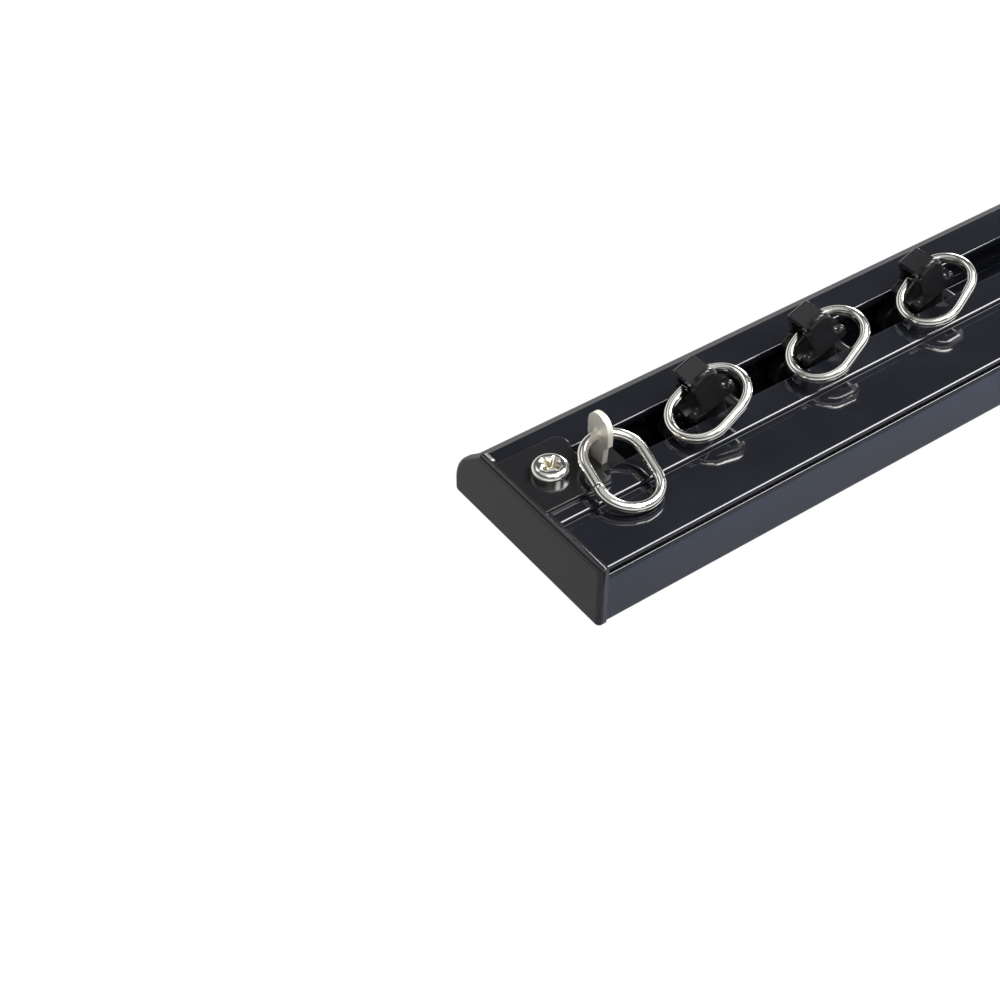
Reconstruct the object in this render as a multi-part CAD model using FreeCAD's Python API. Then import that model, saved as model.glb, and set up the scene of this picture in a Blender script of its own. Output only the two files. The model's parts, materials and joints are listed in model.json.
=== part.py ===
import FreeCAD, Part
import math
import os

from FreeCAD import Rotation, Vector

# Ceiling curtain track, lying on its mounting face with the slot upwards.
# X runs along the track, Y runs across it from the tall near side to the bevelled far side,
# and Z points out of the slot. The origin is the middle of the mounting face.
# All sizes are in millimetres.

# Driving dimensions of the extruded rail
OVERALL_LENGTH = 300.0
RAIL_WIDTH = 46.6
RAIL_HEIGHT = 15.0
SIDE_WALL = 1.8
BACK_WALL = 1.9
WEB = 1.5
LIP_THICKNESS = 1.6
SLOT_WIDTH = 8.9
SLOT_OFFSET = 2.55
CHANNEL_WIDTH = 18.0
BEVEL_WIDTH = 8.25
BEVEL_DROP = 7.2
BEVEL_FOOT_RADIUS = 10.0
BEVEL_TOP_RADIUS = 0.6
BOTTOM_CORNER_RADIUS = 1.2
FINE_EDGE_RADIUS = 0.3
TOP_GROOVE_FROM_NEAR_SIDE = 12.25
TOP_GROOVE_WIDTH = 2.0
TOP_GROOVE_DEPTH = 0.8
SIDE_GROOVE_LIP = 0.75
SIDE_GROOVE_HEIGHT = 1.5
SIDE_GROOVE_DEPTH = 1.0
CHANNEL_CORNER_RADIUS = 0.6
GUIDE_RIB_HEIGHT = 1.5
GUIDE_RIB_THICKNESS = 2.0
GUIDE_RIB_REACH = 0.8

# Fixing holes in the back wall, reached with a screwdriver through the slot
FIXING_HOLE_RADIUS = 2.25
FIXING_COUNTERSINK_RADIUS = 3.2
FIXING_FROM_END = 65.0

# Moulded end caps with a clamped tongue
CAP_THICKNESS = 2.0
CAP_PROUD = 0.45
CAP_EDGE_RADIUS = 1.1
CAP_FINE_RADIUS = 0.25
TONGUE_LENGTH = 14.6
TONGUE_WIDTH = 16.6
TONGUE_THICKNESS = 1.0
TONGUE_CORNER_RADIUS = 2.3
TONGUE_NOTCH = 0.8
KEY_LENGTH = 3.2
KEY_CLEARANCE = 0.15
SPIGOT_LENGTH = 6.0
SPIGOT_CLEARANCE = 0.2
TONGUE_ARM_WALL = 0.5

# Pan head screw and the steel clamp plate under the lips
SCREW_FROM_END = 8.1
SCREW_HEAD_RADIUS = 3.85
SCREW_HEAD_HEIGHT = 2.5
SCREW_HEAD_DOME = 0.7
SCREW_SHANK_RADIUS = 1.95
SCREW_TAIL = 1.2
SCREW_FIT = 0.05
TONGUE_HOLE_CLEARANCE = 0.35
RECESS_ARM_LENGTH = 2.3
RECESS_ARM_WIDTH = 0.95
RECESS_FOOT_LENGTH = 1.05
RECESS_FOOT_WIDTH = 0.65
RECESS_DEPTH = 1.6
RECESS_CORE_RADIUS = 1.15
RECESS_CORE_TIP = 0.4
RECESS_TURN = 20.0
CLAMP_START = 4.5
CLAMP_THICKNESS = 2.5
CLAMP_SIDE_CLEARANCE = 0.4
CLAMP_BEYOND_EYELET = 3.4
CLAMP_CORNER_RADIUS = 1.0

# Fixed steel eyelet plate, standing across the slot
EYELET_FROM_END = 19.5
EYELET_THICKNESS = 1.25
EYELET_HEAD_RADIUS = 3.15
EYELET_CENTRE_HEIGHT = 6.9
EYELET_CHIN_HEIGHT = 3.1
EYELET_CHIN_RADIUS = 0.7
EYELET_NECK_TOP_WIDTH = 4.2
EYELET_NECK_WIDTH = 3.4
EYELET_FOOT_WIDTH = 6.6
EYELET_FOOT_HEIGHT = 1.2
EYELET_HOLE_RADIUS = 1.65
EYELET_HOLE_BELOW_CENTRE = 1.9
EYELET_FIT = 0.05
EYELET_FOOT_RADIUS = 0.35

# Steel wire rings, oval with straight sides and a butt gap
RING_LENGTH = 17.6
EYELET_RING_LENGTH = 18.6
RING_BREADTH = 12.4
RING_WIRE = 2.2
RING_GAP = 0.25
EYELET_RING_GAP_SHIFT = 2.2
EYELET_RING_TURN = 10.5
EYELET_RING_PLAY = 0.25
RING_REST_GAP = 0.3

# Running carriers
CARRIER_PLACES = [49.9, 80.4, 112.2]
WHEEL_BASE = 11.0
WHEEL_RADIUS = 3.6
WHEEL_WIDTH = 3.2
WHEEL_EDGE = 0.8
WHEEL_RUNNING_GAP = 0.13
WHEEL_SIDE_GAP = 0.25
HUB_RADIUS = 2.0
HUB_RECESS = 0.55
HUB_CLEARANCE = 0.2
AXLE_RADIUS = 0.85
AXLE_FIT = 0.05
BARREL_RADIUS = 2.0
HUB_EDGE = 0.15
BODY_WIDTH = 8.0
ARCH_THICKNESS = 1.6
DECK_HEIGHT = 2.6
CHEEK_HEIGHT = 1.3
WINDOW_RADIUS = 1.7
STEM_WIDTH = 6.4
STEM_DEPTH = 5.0
STEM_CORNER_RADIUS = 0.6

# Snap hook on each carrier, measured up from its base
HOOK_HALF_WIDTH = 5.9
HOOK_DEPTH = 7.8
HOOK_SHOULDER = 2.3
HOOK_SHOULDER_RADIUS = 1.0
HOOK_NECK_HALF_WIDTH = 2.65
HOOK_STRAP_TOP = 8.9
HOOK_STRAP_THICKNESS = 1.4
HOOK_PANEL = 1.2
HOOK_TONGUE_HALF_WIDTH = 3.2
HOOK_TONGUE_TOP = 10.7
HOOK_SNAP_GAP = 0.2
HOOK_EYE_BOTTOM = 1.7
HOOK_EYE_FLAT = 0.1
HOOK_EYE_TOP_RADIUS = 1.3
HOOK_EDGE_RADIUS = 0.35
RING_IN_EYE_HEIGHT = 4.5
RING_RAIL_GAP = 0.25

# How each carrier's ring happens to lie in its eye: slid back, across the eye, and turned
RING_SHIFTS = [2.8, 2.2, 3.0]
RING_ACROSS = [0.9, 0.35, 0.3]
RING_TURNS = [8.5, 14.0, 18.0]

# How far a cutting shape reaches past what it cuts, and how deep joined shapes sink into each other
OVERCUT = 1.0
JOIN = 0.5

# Sizes that follow from the driving dimensions
RAIL_LENGTH = OVERALL_LENGTH - 2 * CAP_THICKNESS
NEAR_SIDE = -RAIL_WIDTH / 2
FAR_SIDE = RAIL_WIDTH / 2
SLOT_FROM_NEAR_SIDE = RAIL_WIDTH / 2 + SLOT_OFFSET
SLOT_Y = NEAR_SIDE + SLOT_FROM_NEAR_SIDE
LIP_UNDERSIDE = RAIL_HEIGHT - LIP_THICKNESS
CHANNEL_NEAR = SLOT_Y - CHANNEL_WIDTH / 2
CHANNEL_FAR = SLOT_Y + CHANNEL_WIDTH / 2
CLAMP_UNDERSIDE = LIP_UNDERSIDE - CLAMP_THICKNESS
RING_RADIUS = RING_WIRE / 2
EYELET_HOLE_Z = RAIL_HEIGHT + EYELET_CENTRE_HEIGHT - EYELET_HOLE_BELOW_CENTRE
EYELET_RING_Z = EYELET_HOLE_Z - (EYELET_HOLE_RADIUS - RING_RADIUS - EYELET_RING_PLAY)
EYELET_RING_DROP = EYELET_RING_Z - RAIL_HEIGHT - RING_RADIUS - RING_REST_GAP
EYELET_RING_TILT = math.degrees(math.asin(EYELET_RING_DROP / EYELET_RING_LENGTH))

# A carrier leans in the channel until one wheel pair is under the lips and the other on the back wall
CHANNEL_HEIGHT = LIP_UNDERSIDE - BACK_WALL
WHEEL_RISE = CHANNEL_HEIGHT - 2 * (WHEEL_RADIUS + WHEEL_RUNNING_GAP)
TILT = math.asin(WHEEL_RISE / WHEEL_BASE)
CARRIER_TILT = math.degrees(TILT)
CARRIER_Z = BACK_WALL + CHANNEL_HEIGHT / 2

# The hooks stand as high as the low ends of their leaning rings need above the rail
RING_END_DROP = (max(RING_SHIFTS) + RING_LENGTH / 2) * math.sin(TILT) + RING_RADIUS
EYE_Z = RAIL_HEIGHT + RING_RAIL_GAP + RING_END_DROP
HOOK_BASE = (EYE_Z - CARRIER_Z) / math.cos(TILT) - RING_IN_EYE_HEIGHT


def save(node, shape):
    """Write one closed piece to its STEP file."""
    shape.exportStep("parts/" + node + ".step")


def rounded_wire(corners):
    """Closed wire in the YZ plane through (y, z, radius) corners, each rounded by its radius."""
    count = len(corners)
    starts = []
    ends = []
    arcs = []
    for i in range(count):
        before = Vector(0, corners[i - 1][0], corners[i - 1][1])
        here = Vector(0, corners[i][0], corners[i][1])
        after = Vector(0, corners[(i + 1) % count][0], corners[(i + 1) % count][1])
        radius = corners[i][2]
        if radius == 0:
            starts.append(here)
            ends.append(here)
            arcs.append(None)
            continue
        back = (before - here).normalize()
        ahead = (after - here).normalize()
        half = back.getAngle(ahead) / 2
        reach = radius / math.tan(half)
        middle = here + (back + ahead).normalize() * (radius / math.sin(half) - radius)
        starts.append(here + back * reach)
        ends.append(here + ahead * reach)
        arcs.append(Part.Arc(starts[i], middle, ends[i]).toShape())
    edges = []
    for i in range(count):
        if arcs[i]:
            edges.append(arcs[i])
        begin = ends[i]
        finish = starts[(i + 1) % count]
        if begin.distanceToPoint(finish) > 0.001:
            edges.append(Part.LineSegment(begin, finish).toShape())
    return Part.Wire(edges)


def prism(corners, x_start, length):
    """Solid along X with a rounded outline in the YZ plane."""
    face = Part.Face(rounded_wire(corners))
    face.translate(Vector(x_start, 0, 0))
    return face.extrude(Vector(length, 0, 0))


def block(x_low, x_high, y_low, y_high, z_low, z_high):
    """Plain block between two corners."""
    return Part.makeBox(x_high - x_low, y_high - y_low, z_high - z_low, Vector(x_low, y_low, z_low))


def outer_outline(proud):
    """Outer section of the rail, or of an end cap that stands proud of it all round but below."""
    near = NEAR_SIDE - proud
    far = FAR_SIDE + proud
    top = RAIL_HEIGHT + proud
    slope = BEVEL_DROP / BEVEL_WIDTH
    stretch = math.hypot(1, slope)
    bevel_top = FAR_SIDE - BEVEL_WIDTH + proud * (stretch - 1) / slope
    bevel_foot = RAIL_HEIGHT - BEVEL_DROP + proud * (stretch - slope)
    # The foot's rounding ends on the far side above the bottom corner's own rounding
    foot_turn = math.pi / 2 - math.atan(slope)
    foot_limit = 0.95 * (bevel_foot - BOTTOM_CORNER_RADIUS) / math.tan(foot_turn / 2)
    return [
        (near, 0, BOTTOM_CORNER_RADIUS),
        (far, 0, BOTTOM_CORNER_RADIUS),
        (far, bevel_foot, min(BEVEL_FOOT_RADIUS, foot_limit)),
        (bevel_top, top, BEVEL_TOP_RADIUS),
        (near, top, FINE_EDGE_RADIUS),
    ]


def near_chamber(clearance):
    """Closed chamber on the near side of the channel."""
    return [
        (NEAR_SIDE + SIDE_WALL + clearance, BACK_WALL + clearance, CHANNEL_CORNER_RADIUS),
        (CHANNEL_NEAR - WEB - clearance, BACK_WALL + clearance, CHANNEL_CORNER_RADIUS),
        (CHANNEL_NEAR - WEB - clearance, LIP_UNDERSIDE - clearance, CHANNEL_CORNER_RADIUS),
        (NEAR_SIDE + SIDE_WALL + clearance, LIP_UNDERSIDE - clearance, CHANNEL_CORNER_RADIUS),
    ]


def far_chamber(clearance):
    """Closed chamber under the bevel, one wall thickness inside it."""
    left = CHANNEL_FAR + WEB + clearance
    right = FAR_SIDE - SIDE_WALL - clearance
    low = BACK_WALL + clearance
    high = LIP_UNDERSIDE - clearance
    slope = BEVEL_DROP / BEVEL_WIDTH
    inset = (SIDE_WALL + clearance) * math.hypot(1, slope)
    bevel_line = RAIL_HEIGHT + slope * (FAR_SIDE - BEVEL_WIDTH) - inset
    corners = [
        (left, low, CHANNEL_CORNER_RADIUS),
        (right, low, CHANNEL_CORNER_RADIUS),
        (right, bevel_line - slope * right, CHANNEL_CORNER_RADIUS),
    ]
    roof_end = (bevel_line - high) / slope
    # The roof has a flat part only where the bevel starts beyond the chamber's near wall
    if roof_end > left + 2 * FINE_EDGE_RADIUS:
        corners.append((roof_end, high, FINE_EDGE_RADIUS))
        corners.append((left, high, FINE_EDGE_RADIUS))
    else:
        corners.append((left, bevel_line - slope * left, FINE_EDGE_RADIUS))
    return corners


def channel_outline():
    """Channel for the carriers, with a guide rib along each wall."""
    rib_low = BACK_WALL + GUIDE_RIB_HEIGHT
    rib_high = rib_low + GUIDE_RIB_THICKNESS
    return [
        (CHANNEL_NEAR, BACK_WALL, CHANNEL_CORNER_RADIUS),
        (CHANNEL_FAR, BACK_WALL, CHANNEL_CORNER_RADIUS),
        (CHANNEL_FAR, rib_low, 0),
        (CHANNEL_FAR - GUIDE_RIB_REACH, rib_low, 0),
        (CHANNEL_FAR - GUIDE_RIB_REACH, rib_high, FINE_EDGE_RADIUS),
        (CHANNEL_FAR, rib_high, 0),
        (CHANNEL_FAR, LIP_UNDERSIDE, CHANNEL_CORNER_RADIUS),
        (CHANNEL_NEAR, LIP_UNDERSIDE, CHANNEL_CORNER_RADIUS),
        (CHANNEL_NEAR, rib_high, 0),
        (CHANNEL_NEAR + GUIDE_RIB_REACH, rib_high, FINE_EDGE_RADIUS),
        (CHANNEL_NEAR + GUIDE_RIB_REACH, rib_low, 0),
        (CHANNEL_NEAR, rib_low, 0),
    ]


def rail():
    """Extruded rail with its slot, channel, chambers, grooves and fixing holes."""
    start = -RAIL_LENGTH / 2
    body = prism(outer_outline(0), start, RAIL_LENGTH)
    channel = prism(channel_outline(), start, RAIL_LENGTH)
    slot = block(start, start + RAIL_LENGTH, SLOT_Y - SLOT_WIDTH / 2, SLOT_Y + SLOT_WIDTH / 2,
                 LIP_UNDERSIDE - FINE_EDGE_RADIUS, RAIL_HEIGHT + OVERCUT)
    groove_near = NEAR_SIDE + TOP_GROOVE_FROM_NEAR_SIDE
    groove_far = groove_near + TOP_GROOVE_WIDTH
    groove_top = RAIL_HEIGHT + OVERCUT
    groove_floor = RAIL_HEIGHT - TOP_GROOVE_DEPTH
    top_groove = prism([
        (groove_near, groove_floor, FINE_EDGE_RADIUS),
        (groove_far, groove_floor, FINE_EDGE_RADIUS),
        (groove_far, groove_top, 0),
        (groove_near, groove_top, 0),
    ], start, RAIL_LENGTH)
    side_top = RAIL_HEIGHT - SIDE_GROOVE_LIP
    side_groove = prism([
        (NEAR_SIDE - OVERCUT, side_top - SIDE_GROOVE_HEIGHT, 0),
        (NEAR_SIDE + SIDE_GROOVE_DEPTH, side_top - SIDE_GROOVE_HEIGHT, FINE_EDGE_RADIUS),
        (NEAR_SIDE + SIDE_GROOVE_DEPTH, side_top, FINE_EDGE_RADIUS),
        (NEAR_SIDE - OVERCUT, side_top, 0),
    ], start, RAIL_LENGTH)
    hollows = [channel, slot, top_groove, side_groove]
    hollows.append(prism(near_chamber(0), start, RAIL_LENGTH))
    hollows.append(prism(far_chamber(0), start, RAIL_LENGTH))
    for side in (-1, 1):
        x = side * (OVERALL_LENGTH / 2 - FIXING_FROM_END)
        hollows.append(Part.makeCylinder(FIXING_HOLE_RADIUS, BACK_WALL + 2 * OVERCUT,
                                         Vector(x, SLOT_Y, -OVERCUT)))
        sink_depth = FIXING_COUNTERSINK_RADIUS - FIXING_HOLE_RADIUS
        hollows.append(Part.makeCone(FIXING_HOLE_RADIUS, FIXING_COUNTERSINK_RADIUS, sink_depth,
                                     Vector(x, SLOT_Y, BACK_WALL - sink_depth)))
    body = body.cut(hollows)
    sharp = []
    lines = [
        (SLOT_Y - SLOT_WIDTH / 2, RAIL_HEIGHT), (SLOT_Y + SLOT_WIDTH / 2, RAIL_HEIGHT),
        (groove_far, RAIL_HEIGHT), (groove_near, RAIL_HEIGHT),
        (NEAR_SIDE, side_top - SIDE_GROOVE_HEIGHT),
    ]
    for edge in body.Edges:
        centre = edge.CenterOfMass
        for y, z in lines:
            if abs(centre.y - y) < 0.01 and abs(centre.z - z) < 0.01 and edge.Length > RAIL_LENGTH / 2:
                sharp.append(edge)
    return body.makeFillet(FINE_EDGE_RADIUS, sharp)


def tongue_blank():
    """Flat tongue over the slot and both lips, with one round corner and a notched end."""
    end = TONGUE_LENGTH + CAP_THICKNESS / 2
    tongue = block(0, end, 0, TONGUE_WIDTH, 0, TONGUE_THICKNESS)
    corner = [e for e in tongue.Edges if abs(e.CenterOfMass.x - end) < 0.01
              and abs(e.CenterOfMass.y - TONGUE_WIDTH) < 0.01 and abs(e.Length - TONGUE_THICKNESS) < 0.01]
    # Beside the notch the tongue keeps a little straight end, so its arm limits the round corner
    arm = (TONGUE_WIDTH - SLOT_WIDTH) / 2 - TONGUE_ARM_WALL
    tongue = tongue.makeFillet(min(TONGUE_CORNER_RADIUS, arm), corner)
    notch = block(end - TONGUE_NOTCH, end + OVERCUT, (TONGUE_WIDTH - SLOT_WIDTH) / 2,
                  (TONGUE_WIDTH + SLOT_WIDTH) / 2, -OVERCUT, TONGUE_THICKNESS + OVERCUT)
    tongue = tongue.cut(notch)
    top = [e for e in tongue.Edges if abs(e.CenterOfMass.z - TONGUE_THICKNESS) < 0.01
           and e.CenterOfMass.x > 0.01]
    return tongue.makeFillet(CAP_FINE_RADIUS, top)


def end_cap():
    """End cap at the -X end: plate, tongue, slot key and two spigots, with the screw hole."""
    outer = -OVERALL_LENGTH / 2
    inner = outer + CAP_THICKNESS
    plate = prism(outer_outline(CAP_PROUD), outer, CAP_THICKNESS)
    rim = [e for e in plate.Edges if abs(e.BoundBox.XMax - outer) < 0.01 and e.BoundBox.ZMax > 0.01]
    plate = plate.makeFillet(CAP_EDGE_RADIUS, rim)
    tongue = tongue_blank()
    tongue.translate(Vector(inner - CAP_THICKNESS / 2, SLOT_Y - TONGUE_WIDTH / 2, RAIL_HEIGHT))
    key_half = SLOT_WIDTH / 2 - KEY_CLEARANCE
    key = block(inner - JOIN, inner + KEY_LENGTH, SLOT_Y - key_half, SLOT_Y + key_half,
                LIP_UNDERSIDE, RAIL_HEIGHT + TONGUE_THICKNESS / 2)
    spigots = [
        prism(near_chamber(SPIGOT_CLEARANCE), inner - JOIN, SPIGOT_LENGTH + JOIN),
        prism(far_chamber(SPIGOT_CLEARANCE), inner - JOIN, SPIGOT_LENGTH + JOIN),
    ]
    cap = plate.fuse([tongue, key] + spigots).removeSplitter()
    hole = Part.makeCylinder(SCREW_SHANK_RADIUS + TONGUE_HOLE_CLEARANCE,
                             LIP_THICKNESS + TONGUE_THICKNESS + 2 * OVERCUT,
                             Vector(outer + SCREW_FROM_END, SLOT_Y, LIP_UNDERSIDE - OVERCUT))
    return cap.cut(hole)


def clamp_plate():
    """Steel plate under the lips, tapped for the screw and slotted for the eyelet's foot."""
    outer = -OVERALL_LENGTH / 2
    half = CHANNEL_WIDTH / 2 - CLAMP_SIDE_CLEARANCE
    end = EYELET_FROM_END + EYELET_THICKNESS + CLAMP_BEYOND_EYELET
    plate = block(outer + CLAMP_START, outer + end, SLOT_Y - half, SLOT_Y + half,
                  CLAMP_UNDERSIDE, LIP_UNDERSIDE)
    uprights = [e for e in plate.Edges if abs(e.Length - CLAMP_THICKNESS) < 0.01]
    plate = plate.makeFillet(CLAMP_CORNER_RADIUS, uprights)
    tapping = Part.makeCylinder(SCREW_SHANK_RADIUS + SCREW_FIT, CLAMP_THICKNESS + 2 * OVERCUT,
                                Vector(outer + SCREW_FROM_END, SLOT_Y, CLAMP_UNDERSIDE - OVERCUT))
    neck_half = EYELET_NECK_WIDTH / 2 + EYELET_FIT
    slit = block(outer + EYELET_FROM_END - EYELET_FIT,
                 outer + EYELET_FROM_END + EYELET_THICKNESS + EYELET_FIT,
                 SLOT_Y - neck_half, SLOT_Y + neck_half, CLAMP_UNDERSIDE - OVERCUT, LIP_UNDERSIDE + OVERCUT)
    return plate.cut([tapping, slit])


def cap_screw():
    """Pan head screw with a tapered cross recess."""
    seat = RAIL_HEIGHT + TONGUE_THICKNESS
    x = -OVERALL_LENGTH / 2 + SCREW_FROM_END
    rim_height = SCREW_HEAD_HEIGHT - SCREW_HEAD_DOME
    dome_radius = (SCREW_HEAD_RADIUS ** 2 + SCREW_HEAD_DOME ** 2) / (2 * SCREW_HEAD_DOME)
    head = Part.makeCylinder(SCREW_HEAD_RADIUS, rim_height + SCREW_HEAD_DOME, Vector(0, 0, 0))
    ball = Part.makeSphere(dome_radius, Vector(0, 0, SCREW_HEAD_HEIGHT - dome_radius))
    head = head.common(ball)
    rim = [e for e in head.Edges if abs(e.CenterOfMass.z - rim_height) < 0.05 and e.Length > SCREW_HEAD_RADIUS]
    head = head.makeFillet(FINE_EDGE_RADIUS, rim)
    length = seat - CLAMP_UNDERSIDE + SCREW_TAIL
    shank = Part.makeCylinder(SCREW_SHANK_RADIUS, length + JOIN, Vector(0, 0, -length))
    tip = [e for e in shank.Edges if abs(e.CenterOfMass.z + length) < 0.01 and e.Length > SCREW_SHANK_RADIUS]
    shank = shank.makeChamfer(FINE_EDGE_RADIUS, tip)
    screw = head.fuse(shank).removeSplitter()
    depth_at = SCREW_HEAD_HEIGHT - RECESS_DEPTH
    cuts = [Part.makeCone(RECESS_CORE_TIP, RECESS_CORE_RADIUS, RECESS_DEPTH + JOIN, Vector(0, 0, depth_at))]
    for angle in (RECESS_TURN, RECESS_TURN + 90):
        low = Part.makePolygon(arm_corners(RECESS_FOOT_LENGTH, RECESS_FOOT_WIDTH, depth_at))
        high = Part.makePolygon(arm_corners(RECESS_ARM_LENGTH, RECESS_ARM_WIDTH, SCREW_HEAD_HEIGHT + JOIN))
        arm = Part.makeLoft([low, high], True, True)
        arm.rotate(Vector(0, 0, 0), Vector(0, 0, 1), angle)
        cuts.append(arm)
    screw = screw.cut(cuts)
    screw.translate(Vector(x, SLOT_Y, seat))
    return screw


def arm_corners(half_length, width, z):
    """Closed rectangle for one end of a recess arm."""
    corners = [(-half_length, -width / 2), (half_length, -width / 2),
               (half_length, width / 2), (-half_length, width / 2)]
    points = [Vector(x, y, z) for x, y in corners]
    return points + [points[0]]


def eyelet_plate():
    """Stamped steel plate: round head with its hole, chin, tapered neck and a T foot."""
    x = -OVERALL_LENGTH / 2 + EYELET_FROM_END
    centre = RAIL_HEIGHT + EYELET_CENTRE_HEIGHT
    chin = RAIL_HEIGHT + EYELET_CHIN_HEIGHT
    radius = EYELET_HEAD_RADIUS
    neck_top = EYELET_NECK_TOP_WIDTH / 2
    neck = EYELET_NECK_WIDTH / 2
    foot = EYELET_FOOT_WIDTH / 2
    foot_low = CLAMP_UNDERSIDE - EYELET_FOOT_HEIGHT
    outline = [
        (SLOT_Y - foot, foot_low, EYELET_FOOT_RADIUS),
        (SLOT_Y + foot, foot_low, EYELET_FOOT_RADIUS),
        (SLOT_Y + foot, CLAMP_UNDERSIDE, 0),
        (SLOT_Y + neck, CLAMP_UNDERSIDE, 0),
        (SLOT_Y + neck, LIP_UNDERSIDE, 0),
        (SLOT_Y + neck_top, chin, 0),
        (SLOT_Y + radius, chin, EYELET_CHIN_RADIUS),
        (SLOT_Y + radius, centre, 0),
        (SLOT_Y - radius, centre, 0),
        (SLOT_Y - radius, chin, EYELET_CHIN_RADIUS),
        (SLOT_Y - neck_top, chin, 0),
        (SLOT_Y - neck, LIP_UNDERSIDE, 0),
        (SLOT_Y - neck, CLAMP_UNDERSIDE, 0),
        (SLOT_Y - foot, CLAMP_UNDERSIDE, 0),
    ]
    plate = prism(outline, x, EYELET_THICKNESS)
    head = Part.makeCylinder(radius, EYELET_THICKNESS, Vector(x, SLOT_Y, centre), Vector(1, 0, 0))
    hole = Part.makeCylinder(EYELET_HOLE_RADIUS, EYELET_THICKNESS + 2 * OVERCUT,
                             Vector(x - OVERCUT, SLOT_Y, EYELET_HOLE_Z), Vector(1, 0, 0))
    return plate.fuse(head).removeSplitter().cut(hole)


def wire_ring(length, gap_place):
    """Oval wire ring in the XY plane, its length along X and its butt gap at one place on the +Y side."""
    bend = RING_BREADTH / 2
    straight = (length - RING_BREADTH) / 2
    start = gap_place + RING_GAP / 2
    finish = gap_place - RING_GAP / 2
    path = Part.Wire([
        Part.LineSegment(Vector(start, bend, 0), Vector(straight, bend, 0)).toShape(),
        Part.Arc(Vector(straight, bend, 0), Vector(straight + bend, 0, 0), Vector(straight, -bend, 0)).toShape(),
        Part.LineSegment(Vector(straight, -bend, 0), Vector(-straight, -bend, 0)).toShape(),
        Part.Arc(Vector(-straight, -bend, 0), Vector(-straight - bend, 0, 0), Vector(-straight, bend, 0)).toShape(),
        Part.LineSegment(Vector(-straight, bend, 0), Vector(finish, bend, 0)).toShape(),
    ])
    section = Part.Wire(Part.makeCircle(RING_RADIUS, Vector(start, bend, 0), Vector(1, 0, 0)))
    return path.makePipeShell([section], True, False)


def carrier_frame(place):
    """Placement that carries a carrier's own axes (along, across, up) into the track."""
    x = -OVERALL_LENGTH / 2 + place
    return FreeCAD.Placement(Vector(x, SLOT_Y, CARRIER_Z), Rotation(Vector(0, 1, 0), -CARRIER_TILT))


def placed(shape, placement):
    """Copy of a shape moved by a placement."""
    moved = shape.copy()
    moved.Placement = placement.multiply(moved.Placement)
    return moved


def eyelet_ring():
    """Ring through the eyelet's hole, its far end lying down on the near part of the rail."""
    ring = wire_ring(EYELET_RING_LENGTH, -EYELET_RING_GAP_SHIFT)
    # One round end goes to the origin, and the length then runs towards -Y
    ring.translate(Vector(-EYELET_RING_LENGTH / 2, 0, 0))
    ring.rotate(Vector(0, 0, 0), Vector(0, 0, 1), 90 - EYELET_RING_TURN)
    ring.rotate(Vector(0, 0, 0), Vector(1, 0, 0), EYELET_RING_TILT)
    x = -OVERALL_LENGTH / 2 + EYELET_FROM_END + EYELET_THICKNESS / 2
    ring.translate(Vector(x, SLOT_Y, EYELET_RING_Z))
    return ring


def carrier_ring(place, shift, across, turn):
    """Ring whose long side with the gap lies in the hook's eye, turned and slid along in it."""
    ring = wire_ring(RING_LENGTH, 0)
    ring.translate(Vector(0, -RING_BREADTH / 2, 0))
    ring.rotate(Vector(0, 0, 0), Vector(0, 0, 1), turn)
    ring.translate(Vector(-shift, across, HOOK_BASE + RING_IN_EYE_HEIGHT))
    return placed(ring, carrier_frame(place))


def front_view(neck, top, rounded_top):
    """Outline of a hook panel seen along Y: wide shoulders drawn in to a narrow neck."""
    half = HOOK_HALF_WIDTH
    shoulder = HOOK_BASE + HOOK_SHOULDER
    high = HOOK_BASE + top
    base = HOOK_BASE
    corner = HOOK_SHOULDER_RADIUS
    sweep = half - neck - corner
    neck_low = shoulder + sweep
    diagonal = math.sqrt(0.5)
    right = [
        Part.LineSegment(Vector(0, 0, base), Vector(half, 0, base)).toShape(),
        Part.LineSegment(Vector(half, 0, base), Vector(half, 0, shoulder - corner)).toShape(),
        Part.Arc(Vector(half, 0, shoulder - corner),
                 Vector(half - corner * (1 - diagonal), 0, shoulder - corner * (1 - diagonal)),
                 Vector(half - corner, 0, shoulder)).toShape(),
        Part.Arc(Vector(half - corner, 0, shoulder),
                 Vector(neck + sweep * (1 - diagonal), 0, neck_low - sweep * diagonal),
                 Vector(neck, 0, neck_low)).toShape(),
    ]
    if rounded_top:
        crown = high - neck
        right.append(Part.LineSegment(Vector(neck, 0, neck_low), Vector(neck, 0, crown)).toShape())
        right.append(Part.Arc(Vector(neck, 0, crown), Vector(neck * diagonal, 0, crown + neck * diagonal),
                              Vector(0, 0, high)).toShape())
    else:
        right.append(Part.LineSegment(Vector(neck, 0, neck_low), Vector(neck, 0, high)).toShape())
        right.append(Part.LineSegment(Vector(neck, 0, high), Vector(0, 0, high)).toShape())
    left = [edge.mirror(Vector(0, 0, 0), Vector(1, 0, 0)) for edge in right]
    return Part.Face(Part.Wire(Part.__sortEdges__(right + left)))


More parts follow.
